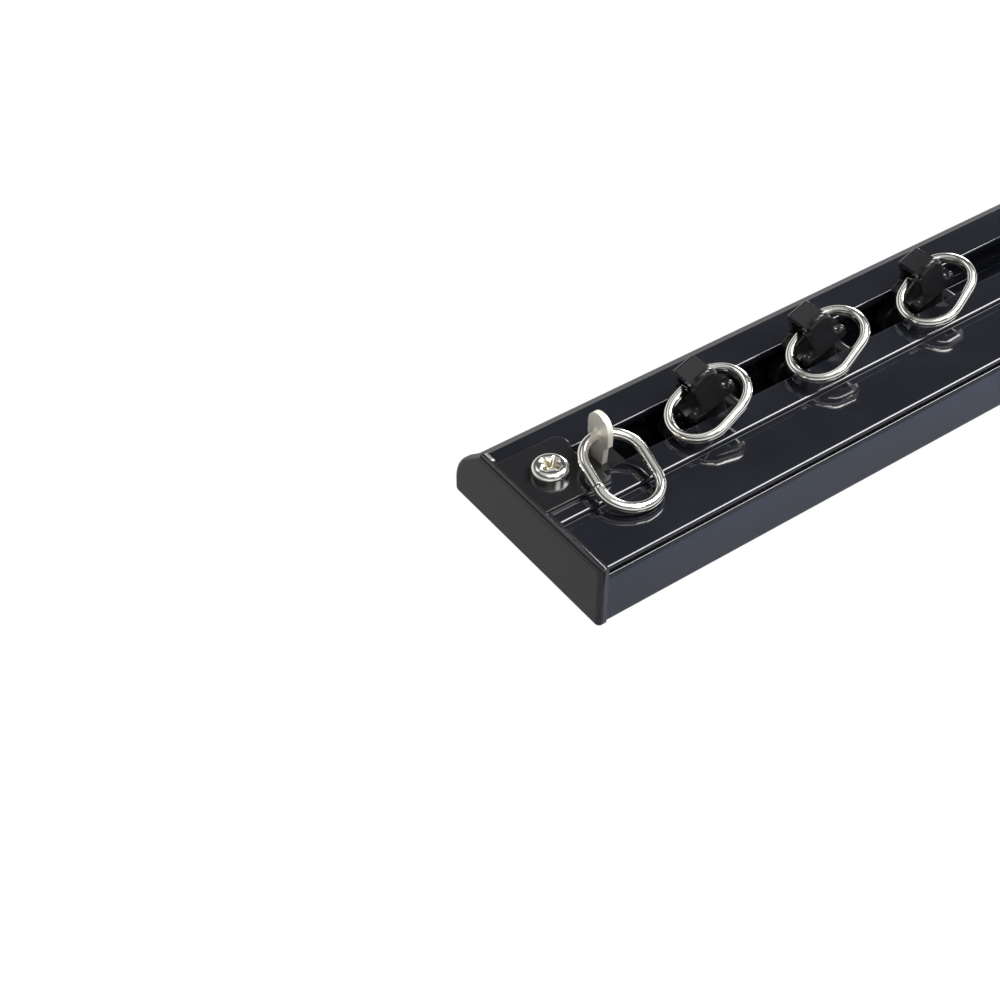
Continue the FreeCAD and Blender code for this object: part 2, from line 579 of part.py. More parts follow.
def hook():
    """Snap hook: a strap bent over the eye from the back panel, closed by a springy front tongue."""
    half = HOOK_DEPTH / 2
    front_inner = -half + HOOK_PANEL
    strap_low = HOOK_BASE + HOOK_STRAP_TOP - HOOK_STRAP_THICKNESS
    back = front_view(HOOK_NECK_HALF_WIDTH, HOOK_STRAP_TOP, False)
    back.translate(Vector(0, front_inner + HOOK_SNAP_GAP, 0))
    back = back.extrude(Vector(0, HOOK_DEPTH - HOOK_PANEL - HOOK_SNAP_GAP, 0))
    crown = [e for e in back.Edges if abs(e.CenterOfMass.z - HOOK_BASE - HOOK_STRAP_TOP) < 0.01
             and abs(e.CenterOfMass.y - half) < 0.01]
    back = back.makeFillet(HOOK_STRAP_THICKNESS, crown)
    tongue = front_view(HOOK_TONGUE_HALF_WIDTH, HOOK_TONGUE_TOP, True)
    tongue.translate(Vector(0, -half, 0))
    tongue = tongue.extrude(Vector(0, HOOK_PANEL, 0))
    rim = [e for e in tongue.Edges if e.BoundBox.YMax < -half + 0.01 and e.BoundBox.ZMax > HOOK_BASE + 0.01]
    tongue = tongue.makeFillet(HOOK_EDGE_RADIUS, rim)
    eye_radius = half - HOOK_PANEL - HOOK_EYE_FLAT / 2
    eye_low = HOOK_BASE + HOOK_EYE_BOTTOM
    eye = prism([
        (front_inner, eye_low, eye_radius),
        (half - HOOK_PANEL, eye_low, eye_radius),
        (half - HOOK_PANEL, strap_low, HOOK_EYE_TOP_RADIUS),
        (front_inner, strap_low, 0),
    ], -HOOK_HALF_WIDTH - OVERCUT, 2 * HOOK_HALF_WIDTH + 2 * OVERCUT)
    floor = block(-HOOK_HALF_WIDTH, HOOK_HALF_WIDTH, -half + HOOK_PANEL / 2, half - HOOK_PANEL / 2,
                  HOOK_BASE, HOOK_BASE + HOOK_EYE_BOTTOM)
    slit = block(-HOOK_HALF_WIDTH - OVERCUT, HOOK_HALF_WIDTH + OVERCUT, front_inner,
                 front_inner + HOOK_SNAP_GAP, strap_low - OVERCUT, HOOK_BASE + HOOK_TONGUE_TOP)
    solid = back.cut(eye).fuse([tongue, floor]).removeSplitter()
    return solid.cut(slit)


def carrier_body():
    """Moulded carrier in its own axes: two axle barrels, an arch with its window, the stem and the hook."""
    half_base = WHEEL_BASE / 2
    half_body = BODY_WIDTH / 2
    barrels = []
    bores = []
    for side in (-1, 1):
        start = Vector(side * half_base, -half_body, 0)
        barrels.append(Part.makeCylinder(BARREL_RADIUS, BODY_WIDTH, start, Vector(0, 1, 0)))
        bore_start = Vector(side * half_base, -half_body - OVERCUT, 0)
        bores.append(Part.makeCylinder(AXLE_RADIUS, BODY_WIDTH + 2 * OVERCUT, bore_start, Vector(0, 1, 0)))
    arch_radius = WINDOW_RADIUS + ARCH_THICKNESS
    arch = Part.makeCylinder(arch_radius, BODY_WIDTH, Vector(0, -half_body, DECK_HEIGHT - ARCH_THICKNESS),
                             Vector(0, 1, 0))
    floor = block(-half_base, half_base, -half_body, half_body, -BARREL_RADIUS, -BARREL_RADIUS + ARCH_THICKNESS)
    cheeks = block(-half_base, half_base, -half_body, half_body, -BARREL_RADIUS, CHEEK_HEIGHT)
    stem_low = DECK_HEIGHT - JOIN
    stem_high = HOOK_BASE + JOIN
    stem = block(-STEM_WIDTH / 2, STEM_WIDTH / 2, -STEM_DEPTH / 2, STEM_DEPTH / 2, stem_low, stem_high)
    stem_edges = [e for e in stem.Edges if abs(e.Length - (stem_high - stem_low)) < 0.01]
    stem = stem.makeFillet(STEM_CORNER_RADIUS, stem_edges)
    body = cheeks.fuse(barrels + [arch, floor, stem, hook()]).removeSplitter()
    window = Part.makeCylinder(WINDOW_RADIUS, BODY_WIDTH + 2 * OVERCUT,
                               Vector(0, -half_body - OVERCUT, DECK_HEIGHT - ARCH_THICKNESS), Vector(0, 1, 0))
    window_foot = block(-WINDOW_RADIUS, WINDOW_RADIUS, -half_body - OVERCUT, half_body + OVERCUT,
                        -BARREL_RADIUS + ARCH_THICKNESS, DECK_HEIGHT - ARCH_THICKNESS)
    return body.cut(bores + [window, window_foot])


def wheel():
    """Wheel on the Y axis, its inner face at the origin, recessed outside for the axle's hub."""
    tread = Part.makeCylinder(WHEEL_RADIUS, WHEEL_WIDTH, Vector(0, 0, 0), Vector(0, 1, 0))
    edges = [e for e in tread.Edges if e.Length > WHEEL_RADIUS * 4]
    tread = tread.makeChamfer(WHEEL_EDGE, edges)
    bore = Part.makeCylinder(AXLE_RADIUS + AXLE_FIT, WHEEL_WIDTH + 2 * OVERCUT, Vector(0, -OVERCUT, 0),
                             Vector(0, 1, 0))
    recess = Part.makeCylinder(HUB_RADIUS + HUB_CLEARANCE, HUB_RECESS + OVERCUT,
                               Vector(0, WHEEL_WIDTH - HUB_RECESS, 0), Vector(0, 1, 0))
    return tread.cut([bore, recess])


def axle():
    """Axle on the Y axis with a flat hub at each end that keeps its two wheels on."""
    reach = BODY_WIDTH / 2 + WHEEL_SIDE_GAP + WHEEL_WIDTH - HUB_RECESS + WHEEL_SIDE_GAP / 2
    hub_thickness = HUB_RECESS
    shaft = Part.makeCylinder(AXLE_RADIUS, 2 * reach, Vector(0, -reach, 0), Vector(0, 1, 0))
    hubs = []
    for side in (-1, 1):
        start = Vector(0, side * reach, 0)
        hub = Part.makeCylinder(HUB_RADIUS, hub_thickness, start, Vector(0, side, 0))
        outer = [e for e in hub.Edges if abs(abs(e.CenterOfMass.y) - reach - hub_thickness) < 0.01
                 and e.Length > HUB_RADIUS]
        hubs.append(hub.makeChamfer(HUB_EDGE, outer))
    return shaft.fuse(hubs).removeSplitter()


def mirrored(shape):
    """The same piece at the +X end."""
    return shape.mirror(Vector(0, 0, 0), Vector(1, 0, 0))


os.makedirs("parts", exist_ok=True)

save("rail", rail())

end_pieces = {
    "end_cap": end_cap(),
    "clamp_plate": clamp_plate(),
    "cap_screw": cap_screw(),
    "eyelet_plate": eyelet_plate(),
    "eyelet_ring": eyelet_ring(),
}
for name, shape in end_pieces.items():
    save(name + "_left", shape)
    save(name + "_right", mirrored(shape))

body_shape = carrier_body()
wheel_shape = wheel()
axle_shape = axle()
wheel_start = BODY_WIDTH / 2 + WHEEL_SIDE_GAP
for number, place in enumerate(CARRIER_PLACES, start=1):
    ring_pose = (RING_SHIFTS[number - 1], RING_ACROSS[number - 1], RING_TURNS[number - 1])
    frame = carrier_frame(place)
    save("carrier_%d" % number, placed(body_shape, frame))
    save("ring_%d" % number, carrier_ring(place, *ring_pose))
    for end, along in (("rear", -WHEEL_BASE / 2), ("front", WHEEL_BASE / 2)):
        axle_place = FreeCAD.Placement(Vector(along, 0, 0), Rotation())
        save("axle_%d_%s" % (number, end), placed(axle_shape, frame.multiply(axle_place)))
        for side, facing, across in (("far", 0, wheel_start), ("near", 180, -wheel_start)):
            spot = FreeCAD.Placement(Vector(along, across, 0), Rotation(Vector(0, 0, 1), facing))
            save("wheel_%d_%s_%s" % (number, end, side), placed(wheel_shape, frame.multiply(spot)))
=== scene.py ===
import json
import math

import bmesh
import bpy
from mathutils import Matrix, Vector

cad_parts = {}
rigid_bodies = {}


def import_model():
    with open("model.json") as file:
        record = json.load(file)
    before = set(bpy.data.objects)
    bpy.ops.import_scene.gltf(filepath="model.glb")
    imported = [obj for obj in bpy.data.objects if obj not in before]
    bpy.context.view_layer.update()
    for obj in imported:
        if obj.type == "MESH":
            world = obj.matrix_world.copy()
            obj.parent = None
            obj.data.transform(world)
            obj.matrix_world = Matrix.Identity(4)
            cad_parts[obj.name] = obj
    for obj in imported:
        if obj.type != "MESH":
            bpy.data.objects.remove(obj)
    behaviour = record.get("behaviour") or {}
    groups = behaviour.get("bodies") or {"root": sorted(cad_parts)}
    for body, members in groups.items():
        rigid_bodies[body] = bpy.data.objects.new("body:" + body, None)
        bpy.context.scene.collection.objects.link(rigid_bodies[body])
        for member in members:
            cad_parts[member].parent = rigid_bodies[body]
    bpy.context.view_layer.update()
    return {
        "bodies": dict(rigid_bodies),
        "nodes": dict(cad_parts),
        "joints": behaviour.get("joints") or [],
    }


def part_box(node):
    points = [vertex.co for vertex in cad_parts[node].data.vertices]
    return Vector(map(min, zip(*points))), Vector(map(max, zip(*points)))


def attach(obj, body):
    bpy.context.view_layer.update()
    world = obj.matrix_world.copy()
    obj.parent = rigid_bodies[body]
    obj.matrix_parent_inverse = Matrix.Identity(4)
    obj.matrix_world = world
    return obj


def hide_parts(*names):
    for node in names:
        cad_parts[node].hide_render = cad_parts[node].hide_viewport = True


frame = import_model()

bl_info = {
    "name": "Curtain track",
    "version": (1, 0, 0),
    "blender": (4, 5, 0),
    "location": "View3D > Sidebar > Curtain track",
    "description": "Finishes a short curtain track with its running hooks, rings and end caps",
    "category": "Object",
}

MM = 0.001
NODES = frame["nodes"]
RAIL_LOW, RAIL_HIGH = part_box("rail")
HINGES = {joint["child"]: joint for joint in frame["joints"] if joint["type"] == "hinge"}
CARRIERS = sorted(name for name in frame["bodies"] if name.startswith("carrier_"))
SLOT_Y = HINGES["eyelet_ring_left"]["pos_m"][1]
SIDES = ("left", "right")

# Distances within which corners are merged, in the solids' own shapes and in new ones
WELD = 0.001 * MM
FINE_WELD = 0.0005 * MM

# A height or distance too small to see
HAIR = 0.01 * MM

# How far a cutter reaches past what it cuts
OVERCUT = 1.0 * MM

# Share of a half circle at which a rounding still leaves its edges some length
NEARLY = 0.99

# Edges sharper than the first are rounded, and edges sharper than the second are shaded sharp
SHARP = math.radians(60.0)
SMOOTH = math.radians(35.0)


# Sizes and colours that a user would change

class TrackSizes(bpy.types.PropertyGroup):
    """Sizes of the pieces that are modelled again with finer rounding"""

    rail_wall: bpy.props.FloatProperty(
        name="Rail wall", description="Thickness of the rail's outer walls", default=1.8 * MM, unit="LENGTH")
    rail_back: bpy.props.FloatProperty(
        name="Back wall", description="Thickness of the wall that lies on the ceiling", default=1.9 * MM,
        unit="LENGTH")
    rail_web: bpy.props.FloatProperty(
        name="Web", description="Thickness of the walls beside the channel", default=1.5 * MM, unit="LENGTH")
    rail_lip: bpy.props.FloatProperty(
        name="Lip", description="Thickness of the lips beside the slot", default=1.6 * MM, unit="LENGTH")
    slot_width: bpy.props.FloatProperty(
        name="Slot width", description="Width of the slot", default=8.9 * MM, unit="LENGTH")
    channel_width: bpy.props.FloatProperty(
        name="Channel width", description="Width of the channel", default=18.0 * MM, unit="LENGTH")
    bevel_width: bpy.props.FloatProperty(
        name="Bevel width", description="Width of the bevelled side seen from above", default=8.25 * MM,
        unit="LENGTH")
    bevel_drop: bpy.props.FloatProperty(
        name="Bevel drop", description="Height that the bevel takes off", default=7.2 * MM, unit="LENGTH")
    bevel_foot: bpy.props.FloatProperty(
        name="Bevel foot", description="Rounding where the bevel meets the side", default=10.0 * MM,
        unit="LENGTH")
    groove_place: bpy.props.FloatProperty(
        name="Groove place", description="Distance of the top groove from the near side", default=12.25 * MM,
        unit="LENGTH")
    groove_width: bpy.props.FloatProperty(
        name="Groove width", description="Width of the top groove", default=2.0 * MM, unit="LENGTH")
    groove_depth: bpy.props.FloatProperty(
        name="Groove depth", description="Depth of the top groove", default=0.8 * MM, unit="LENGTH")
    side_groove_lip: bpy.props.FloatProperty(
        name="Side groove lip", description="Height of the lip above the side groove", default=0.75 * MM,
        unit="LENGTH")
    side_groove_height: bpy.props.FloatProperty(
        name="Side groove height", description="Height of the side groove", default=1.5 * MM, unit="LENGTH")
    side_groove_depth: bpy.props.FloatProperty(
        name="Side groove depth", description="Depth of the side groove", default=1.0 * MM, unit="LENGTH")
    rib_place: bpy.props.FloatProperty(
        name="Rib place", description="Height of the guide ribs above the channel's floor", default=1.5 * MM,
        unit="LENGTH")
    rib_thickness: bpy.props.FloatProperty(
        name="Rib thickness", description="Thickness of the guide ribs", default=2.0 * MM, unit="LENGTH")
    rib_reach: bpy.props.FloatProperty(
        name="Rib reach", description="How far the guide ribs stand out", default=0.8 * MM, unit="LENGTH")
    bright_edge: bpy.props.FloatProperty(
        name="Bright edges", description="Rounding of the long edges that catch the light", default=0.7 * MM,
        unit="LENGTH")
    fixing_place: bpy.props.FloatProperty(
        name="Fixing holes", description="Distance of the fixing holes from the rail's ends",
        default=63.0 * MM, unit="LENGTH")
    fixing_radius: bpy.props.FloatProperty(
        name="Fixing hole radius", description="Radius of the fixing holes", default=2.25 * MM, unit="LENGTH")
    fixing_sink: bpy.props.FloatProperty(
        name="Countersink", description="Radius of the fixing holes' countersinks", default=3.2 * MM,
        unit="LENGTH")
    screw_radius: bpy.props.FloatProperty(
        name="Screw head", description="Radius of the screw's head", default=3.85 * MM, unit="LENGTH")
    screw_height: bpy.props.FloatProperty(
        name="Screw height", description="Height of the screw's head", default=2.5 * MM, unit="LENGTH")
    screw_flat: bpy.props.FloatProperty(
        name="Screw flat", description="Radius of the flat on top of the screw's head", default=3.1 * MM,
        unit="LENGTH")
    recess_length: bpy.props.FloatProperty(
        name="Recess length", description="Reach of the recess's arms", default=2.4 * MM, unit="LENGTH")
    recess_width: bpy.props.FloatProperty(
        name="Recess width", description="Width of the recess's arms", default=1.15 * MM, unit="LENGTH")
    recess_depth: bpy.props.FloatProperty(
        name="Recess depth", description="Depth of the recess", default=1.6 * MM, unit="LENGTH")
    recess_turn: bpy.props.FloatProperty(
        name="Recess turn", description="How far the recess is turned", default=math.radians(20.0),
        unit="ROTATION")
    ring_wire: bpy.props.FloatProperty(
        name="Ring wire", description="Diameter of the ring wire", default=2.2 * MM, unit="LENGTH")
    ring_length: bpy.props.FloatProperty(
        name="Ring length", description="Length of a carrier's ring between wire centres", default=17.6 * MM,
        unit="LENGTH")
    eyelet_ring_length: bpy.props.FloatProperty(
        name="Eyelet ring length", description="Length of an eyelet's ring between wire centres",
        default=18.6 * MM, unit="LENGTH")
    ring_breadth: bpy.props.FloatProperty(
        name="Ring breadth", description="Ring breadth between wire centres", default=12.4 * MM,
        unit="LENGTH")
    ring_gap: bpy.props.FloatProperty(
        name="Ring gap", description="Gap where the wire's ends meet", default=0.25 * MM, unit="LENGTH")
    eyelet_ring_gap_shift: bpy.props.FloatProperty(
        name="Gap shift", description="How far the gap of an eyelet's ring lies from the middle of its side",
        default=2.2 * MM, unit="LENGTH")
    eyelet_ring_turn: bpy.props.FloatProperty(
        name="Eyelet ring turn", description="How far an eyelet's ring is turned from square to the track",
        default=math.radians(10.5), unit="ROTATION")
    ring_slid: bpy.props.FloatVectorProperty(
        name="Rings slid", description="How far each carrier's ring lies back in its eye",
        default=(2.8 * MM, 2.2 * MM, 3.0 * MM), unit="LENGTH")
    ring_across: bpy.props.FloatVectorProperty(
        name="Rings across", description="How far each carrier's ring lies towards the eye's back",
        default=(0.9 * MM, 0.35 * MM, 0.3 * MM), unit="LENGTH")
    ring_turned: bpy.props.FloatVectorProperty(
        name="Rings turned", description="How far each carrier's ring is turned in its eye",
        default=(math.radians(8.5), math.radians(14.0), math.radians(18.0)), unit="ROTATION")
    ring_in_eye: bpy.props.FloatProperty(
        name="Ring in eye", description="Height of a ring's wire above the hook's base", default=4.5 * MM,
        unit="LENGTH")
    wheel_radius: bpy.props.FloatProperty(
        name="Wheel radius", description="Outer radius of a wheel", default=3.6 * MM, unit="LENGTH")
    wheel_width: bpy.props.FloatProperty(
        name="Wheel width", description="Width of a wheel along its axle", default=3.2 * MM, unit="LENGTH")
    axle_radius: bpy.props.FloatProperty(
        name="Axle radius", description="Radius of an axle's shaft", default=0.85 * MM, unit="LENGTH")
    hub_radius: bpy.props.FloatProperty(
        name="Hub radius", description="Radius of an axle's flat hub", default=2.0 * MM, unit="LENGTH")
    hub_recess: bpy.props.FloatProperty(
        name="Hub recess", description="Depth of the recess that a hub lies in", default=0.55 * MM,
        unit="LENGTH")
    hook_half_width: bpy.props.FloatProperty(
        name="Hook half width", description="Half the width of a hook's base", default=5.9 * MM,
        unit="LENGTH")
    hook_neck: bpy.props.FloatProperty(
        name="Hook neck", description="Half the width of a hook's strap", default=2.65 * MM, unit="LENGTH")
    hook_depth: bpy.props.FloatProperty(
        name="Hook depth", description="Depth of a hook across the track", default=7.8 * MM, unit="LENGTH")
    hook_panel: bpy.props.FloatProperty(
        name="Hook wall", description="Thickness of a hook's walls", default=1.2 * MM, unit="LENGTH")
    hook_shoulder: bpy.props.FloatProperty(
        name="Hook shoulder", description="Height of a hook's shoulders", default=2.3 * MM, unit="LENGTH")
    hook_shoulder_radius: bpy.props.FloatProperty(
        name="Shoulder radius", description="Rounding of a hook's shoulders", default=1.0 * MM, unit="LENGTH")
    hook_strap_top: bpy.props.FloatProperty(
        name="Strap top", description="Height of the strap's top above the base", default=8.9 * MM,
        unit="LENGTH")
    hook_strap: bpy.props.FloatProperty(
        name="Strap thickness", description="Thickness of the strap", default=1.4 * MM, unit="LENGTH")
    hook_tongue_top: bpy.props.FloatProperty(
        name="Tongue top", description="Height of the front tongue's round top", default=10.7 * MM,
        unit="LENGTH")
    hook_tongue_half_width: bpy.props.FloatProperty(
        name="Tongue half width", description="Half the width of the front tongue", default=3.2 * MM,
        unit="LENGTH")
    hook_snap_gap: bpy.props.FloatProperty(
        name="Snap gap", description="Gap between strap and tongue", default=0.2 * MM, unit="LENGTH")
    hook_eye_bottom: bpy.props.FloatProperty(
        name="Eye bottom", description="Height of the eye's lowest point", default=1.7 * MM, unit="LENGTH")
    hook_edge: bpy.props.FloatProperty(
        name="Tongue edge", description="Rounding of the front tongue's edge", default=0.9 * MM,
        unit="LENGTH")
    hook_side_edge: bpy.props.FloatProperty(
        name="Strap edge", description="Rounding of the edges of strap and back panel", default=0.45 * MM,
        unit="LENGTH")


class TrackColours(bpy.types.PropertyGroup):
    """Colours of the finishes"""

    rail: bpy.props.FloatVectorProperty(
        name="Rail", description="Gloss coating of the rail", default=(0.0057, 0.0064, 0.0094),
        subtype="COLOR")
    cap: bpy.props.FloatVectorProperty(
        name="End caps", description="Moulded plastic of the caps", default=(0.0088, 0.0088, 0.01),
        subtype="COLOR")
    hook: bpy.props.FloatVectorProperty(
        name="Hooks", description="Moulded plastic of the carriers", default=(0.01, 0.01, 0.011),
        subtype="COLOR")
    wheel: bpy.props.FloatVectorProperty(
        name="Wheels", description="Moulded plastic of the wheels", default=(0.012, 0.012, 0.012),
        subtype="COLOR")
    nickel: bpy.props.FloatVectorProperty(
        name="Nickel", description="Bright nickel plate of rings and screws", default=(0.80, 0.785, 0.74),
        subtype="COLOR")
    # Painted shade: the darker, warmer colour that the plate takes down in a screw's recess
    recess: bpy.props.FloatVectorProperty(
        name="Screw recess", description="Warm tone of the plate down in a screw's recess",
        default=(0.42, 0.38, 0.27), subtype="COLOR")
    plate: bpy.props.FloatVectorProperty(
        name="Eyelets", description="Tumbled nickel plate of the eyelets", default=(0.74, 0.7, 0.62),
        subtype="COLOR")
    plate_rubbed: bpy.props.FloatVectorProperty(
        name="Rubbed eyelets", description="The eyelets' plate where it is rubbed lighter",
        default=(0.86, 0.83, 0.76), subtype="COLOR")
    steel: bpy.props.FloatVectorProperty(
        name="Steel", description="Plain drawn steel of the axles", default=(0.62, 0.64, 0.66),
        subtype="COLOR")
    oxide: bpy.props.FloatVectorProperty(
        name="Black oxide", description="Blackened steel of the clamp plates", default=(0.003, 0.003, 0.0032),
        subtype="COLOR")
    floor: bpy.props.FloatVectorProperty(
        name="Floor", description="Plain pale floor", default=(0.8, 0.8, 0.8), subtype="COLOR")
    # Painted reflections: the floor glows in these tones where gloss sees it, set by place rather than lit
    floor_close: bpy.props.FloatVectorProperty(
        name="Close floor", description="Tone of the floor beside the rail, where the near side mirrors it",
        default=(0.5, 0.52, 0.58), subtype="COLOR")
    floor_mirrored: bpy.props.FloatVectorProperty(
        name="Mirrored floor", description="Tone of the floor that the near side mirrors",
        default=(0.52, 0.59, 0.78), subtype="COLOR")
    # Painted shade that the far side and the caps mirror
    floor_shaded: bpy.props.FloatVectorProperty(
        name="Shaded floor", description="Tone of the floor that the far side and the caps mirror",
        default=(0.2, 0.2, 0.2), subtype="COLOR")


class StageSettings(bpy.types.PropertyGroup):
    """Camera and light"""

    lens: bpy.props.FloatProperty(
        name="Lens", description="Focal length of the camera in millimetres", default=64.37)
    camera_place: bpy.props.FloatVectorProperty(
        name="Camera place", description="Where the camera stands", default=(-0.2968, -0.1970, 0.2500),
        subtype="TRANSLATION")
    camera_aim: bpy.props.FloatVectorProperty(
        name="Camera direction", description="Direction in which the camera looks",
        default=(0.4212, 0.5877, -0.6907), subtype="DIRECTION")
    horizon_light: bpy.props.FloatProperty(
        name="Low surroundings", description="Strength of the light from round the horizon", default=0.9)
    zenith_light: bpy.props.FloatProperty(
        name="High surroundings", description="Strength of the light from overhead", default=0.12)
    key_light: bpy.props.FloatProperty(
        name="Key light", description="Power of the bright softbox in watts", default=7.0)
    fill_light: bpy.props.FloatProperty(
        name="Fill light", description="Power of the softbox over the camera in watts", default=2.0)
    ceiling_light: bpy.props.FloatProperty(
        name="Ceiling light", description="Power of the broad softbox overhead in watts", default=4.5)
    edge_light: bpy.props.FloatProperty(
        name="Edge light", description="Power of the small low softbox at the far end in watts", default=4.5)
    rim_light: bpy.props.FloatProperty(
        name="Rim light", description="Power of the small softbox beside the camera in watts", default=3.0)
    back_light: bpy.props.FloatProperty(
        name="Back light", description="Power of the softbox behind the track in watts", default=1.0)


# Materials

class Value:
    """One output socket of a material, which takes part in Python sums."""

    def __init__(self, finish, socket):
        self.finish = finish
        self.socket = socket

    def sum_with(self, operation, first, second):
        return self.finish.node("ShaderNodeMath", {"operation": operation}, {0: first, 1: second})

    def __add__(self, other):
        return self.sum_with("ADD", self, other)

    def __radd__(self, other):
        return self.sum_with("ADD", other, self)

    def __sub__(self, other):
        return self.sum_with("SUBTRACT", self, other)

    def __rsub__(self, other):
        return self.sum_with("SUBTRACT", other, self)

    def __mul__(self, other):
        return self.sum_with("MULTIPLY", self, other)

    def __rmul__(self, other):
        return self.sum_with("MULTIPLY", other, self)

    def __abs__(self):
        return self.finish.node("ShaderNodeMath", {"operation": "ABSOLUTE"}, {0: self})


class Finish:
    """A material under construction: its shader and the nodes that vary it over the surface."""

    def __init__(self, name, **constants):
        self.material = bpy.data.materials.new(name)
        self.material.use_nodes = True
        self.tree = self.material.node_tree
        self.tree.nodes.clear()
        self.shader = self.tree.nodes.new("ShaderNodeBsdfPrincipled")
        output = self.tree.nodes.new("ShaderNodeOutputMaterial")
        self.tree.links.new(self.shader.outputs["BSDF"], output.inputs["Surface"])
        for socket, value in constants.items():
            self.shader.inputs[socket.replace("_", " ")].default_value = value
        self.place = self.node("ShaderNodeTexCoord", {}, {}, "Object")

    def node(self, kind, settings, inputs, output=0):
        """Adds one node with its settings and the values or links of its sockets, and gives one output."""
        made = self.tree.nodes.new(kind)
        for name, value in settings.items():
            setattr(made, name, value)
        for socket, value in inputs.items():
            self.feed(made.inputs[socket], value)
        return Value(self, made.outputs[output])

    def feed(self, socket, value):
        """Links a value to a socket, or writes a constant on it."""
        if isinstance(value, Value):
            self.tree.links.new(value.socket, socket)
        else:
            socket.default_value = value

    def axis(self, name):
        """One coordinate of the surface's place."""
        return self.node("ShaderNodeSeparateXYZ", {}, {"Vector": self.place}, name)

    def stretched(self, scale):
        """The surface's place, scaled by a different amount along each axis."""
        return self.node("ShaderNodeMapping", {}, {"Vector": self.place, "Scale": scale})

    def noise(self, scale, detail=2.0, roughness=0.5, vector=None):
        """Soft noise from 0 to 1, with its scale in patches to the metre."""
        return self.node("ShaderNodeTexNoise", {}, {
            "Vector": vector or self.place, "Scale": scale, "Detail": detail, "Roughness": roughness}, "Fac")

    def between(self, value, low, high):
        """Spreads the stretch of a value from low to high over 0 to 1."""
        return self.node("ShaderNodeMapRange", {"clamp": True}, {
            "Value": value, "From Min": low, "From Max": high})

    def mix(self, share, first, second):
        """Mixes two colours."""
        return self.node("ShaderNodeMix", {"data_type": "RGBA"}, {0: share, 6: first, 7: second}, 2)

    def bump(self, height, distance):
        """Feeds a height, which spans a distance in metres, to the shader's normal."""
        normal = self.node("ShaderNodeBump", {}, {"Height": height, "Distance": distance})
        self.feed(self.shader.inputs["Normal"], normal)

    def vary(self, socket, value):
        """Feeds a value that changes over the surface to one of the shader's sockets."""
        self.feed(self.shader.inputs[socket], value)


def tinted(colour, factor=1.0):
    """A colour made lighter or darker, with its alpha."""
    return tuple(min(1.0, channel * factor) for channel in colour) + (1.0,)


def gloss_coating(colours):
    """Gloss black coating: long die lines along the rail, faint orange peel and soft smudges."""
    finish = Finish("gloss_coating", IOR=1.6)
    lines = finish.noise(1.0, 3.0, 0.6, finish.stretched((3.0, 2600.0, 2600.0)))
    peel = finish.noise(850.0, 1.0)
    smudge = finish.between(finish.noise(38.0, 4.0, 0.6), 0.45, 0.75)
    finish.vary("Base Color", finish.mix(smudge, tinted(colours.rail), tinted(colours.rail, 1.7)))
    finish.vary("Roughness", 0.045 + smudge * 0.05 + lines * 0.03)
    finish.bump(lines * 0.35 + peel * 0.65, 0.0000035)
    return finish.material


def satin_moulding(colours):
    """Charcoal cap plastic: a fine spark-eroded grain and a slow change of sheen."""
    finish = Finish("satin_moulding", IOR=1.5, Specular_IOR_Level=0.55)
    grain = finish.noise(5200.0, 2.0)
    cloud = finish.noise(55.0, 3.0)
    finish.vary("Base Color", finish.mix(cloud, tinted(colours.cap, 0.85), tinted(colours.cap, 1.25)))
    finish.vary("Roughness", 0.1 + cloud * 0.06 + grain * 0.04)
    finish.bump(grain, 0.000006)
    return finish.material


def hook_moulding(colours):
    """Black carrier plastic: smooth, with faint flow marks."""
    finish = Finish("hook_moulding", IOR=1.5, Specular_IOR_Level=0.3)
    flow = finish.noise(140.0, 3.0, 0.6, finish.stretched((1.0, 1.0, 2.6)))
    grain = finish.noise(3800.0, 2.0)
    finish.vary("Base Color", finish.mix(flow, tinted(colours.hook, 0.8), tinted(colours.hook, 1.4)))
    finish.vary("Roughness", 0.13 + flow * 0.08)
    finish.bump(flow * 0.5 + grain * 0.25, 0.00001)
    return finish.material


def wheel_moulding(colours):
    """Black wheel plastic with random scuffs, lighter and rougher in patches."""
    finish = Finish("wheel_moulding", IOR=1.52)
    scuff = finish.noise(700.0, 3.0, 0.7)
    finish.vary("Base Color", finish.mix(scuff, tinted(colours.wheel, 0.8), tinted(colours.wheel, 1.8)))
    finish.vary("Roughness", 0.18 + scuff * 0.22)
    finish.bump(scuff, 0.000008)
    return finish.material


def bright_nickel(colours):
    """Bright nickel on drawn wire: nearly a mirror, with fine drawing marks and a few dull spots."""
    finish = Finish("bright_nickel", Metallic=1.0)
    drawn = finish.noise(2400.0, 3.0, 0.65)
    dull = finish.between(finish.noise(260.0, 3.0), 0.5, 0.85)
    finish.vary("Base Color", finish.mix(dull, tinted(colours.nickel), tinted(colours.nickel, 0.86)))
    finish.vary("Roughness", 0.07 + dull * 0.1 + drawn * 0.03)
    finish.bump(drawn, 0.0000025)
    return finish.material


def tumbled_nickel(colours):
    """Tumbled nickel on stamped plate: a soft mottled grey with fine scratches."""
    finish = Finish("tumbled_nickel", Metallic=0.45)
    mottle = finish.noise(1500.0, 4.0, 0.7)
    scratch = finish.noise(1.0, 2.0, 0.6, finish.stretched((2400.0, 420.0, 2400.0)))
    finish.vary("Base Color", finish.mix(mottle, tinted(colours.plate), tinted(colours.plate_rubbed)))
    finish.vary("Roughness", 0.3 + mottle * 0.2)
    finish.bump(mottle * 0.6 + scratch * 0.4, 0.000008)
    return finish.material


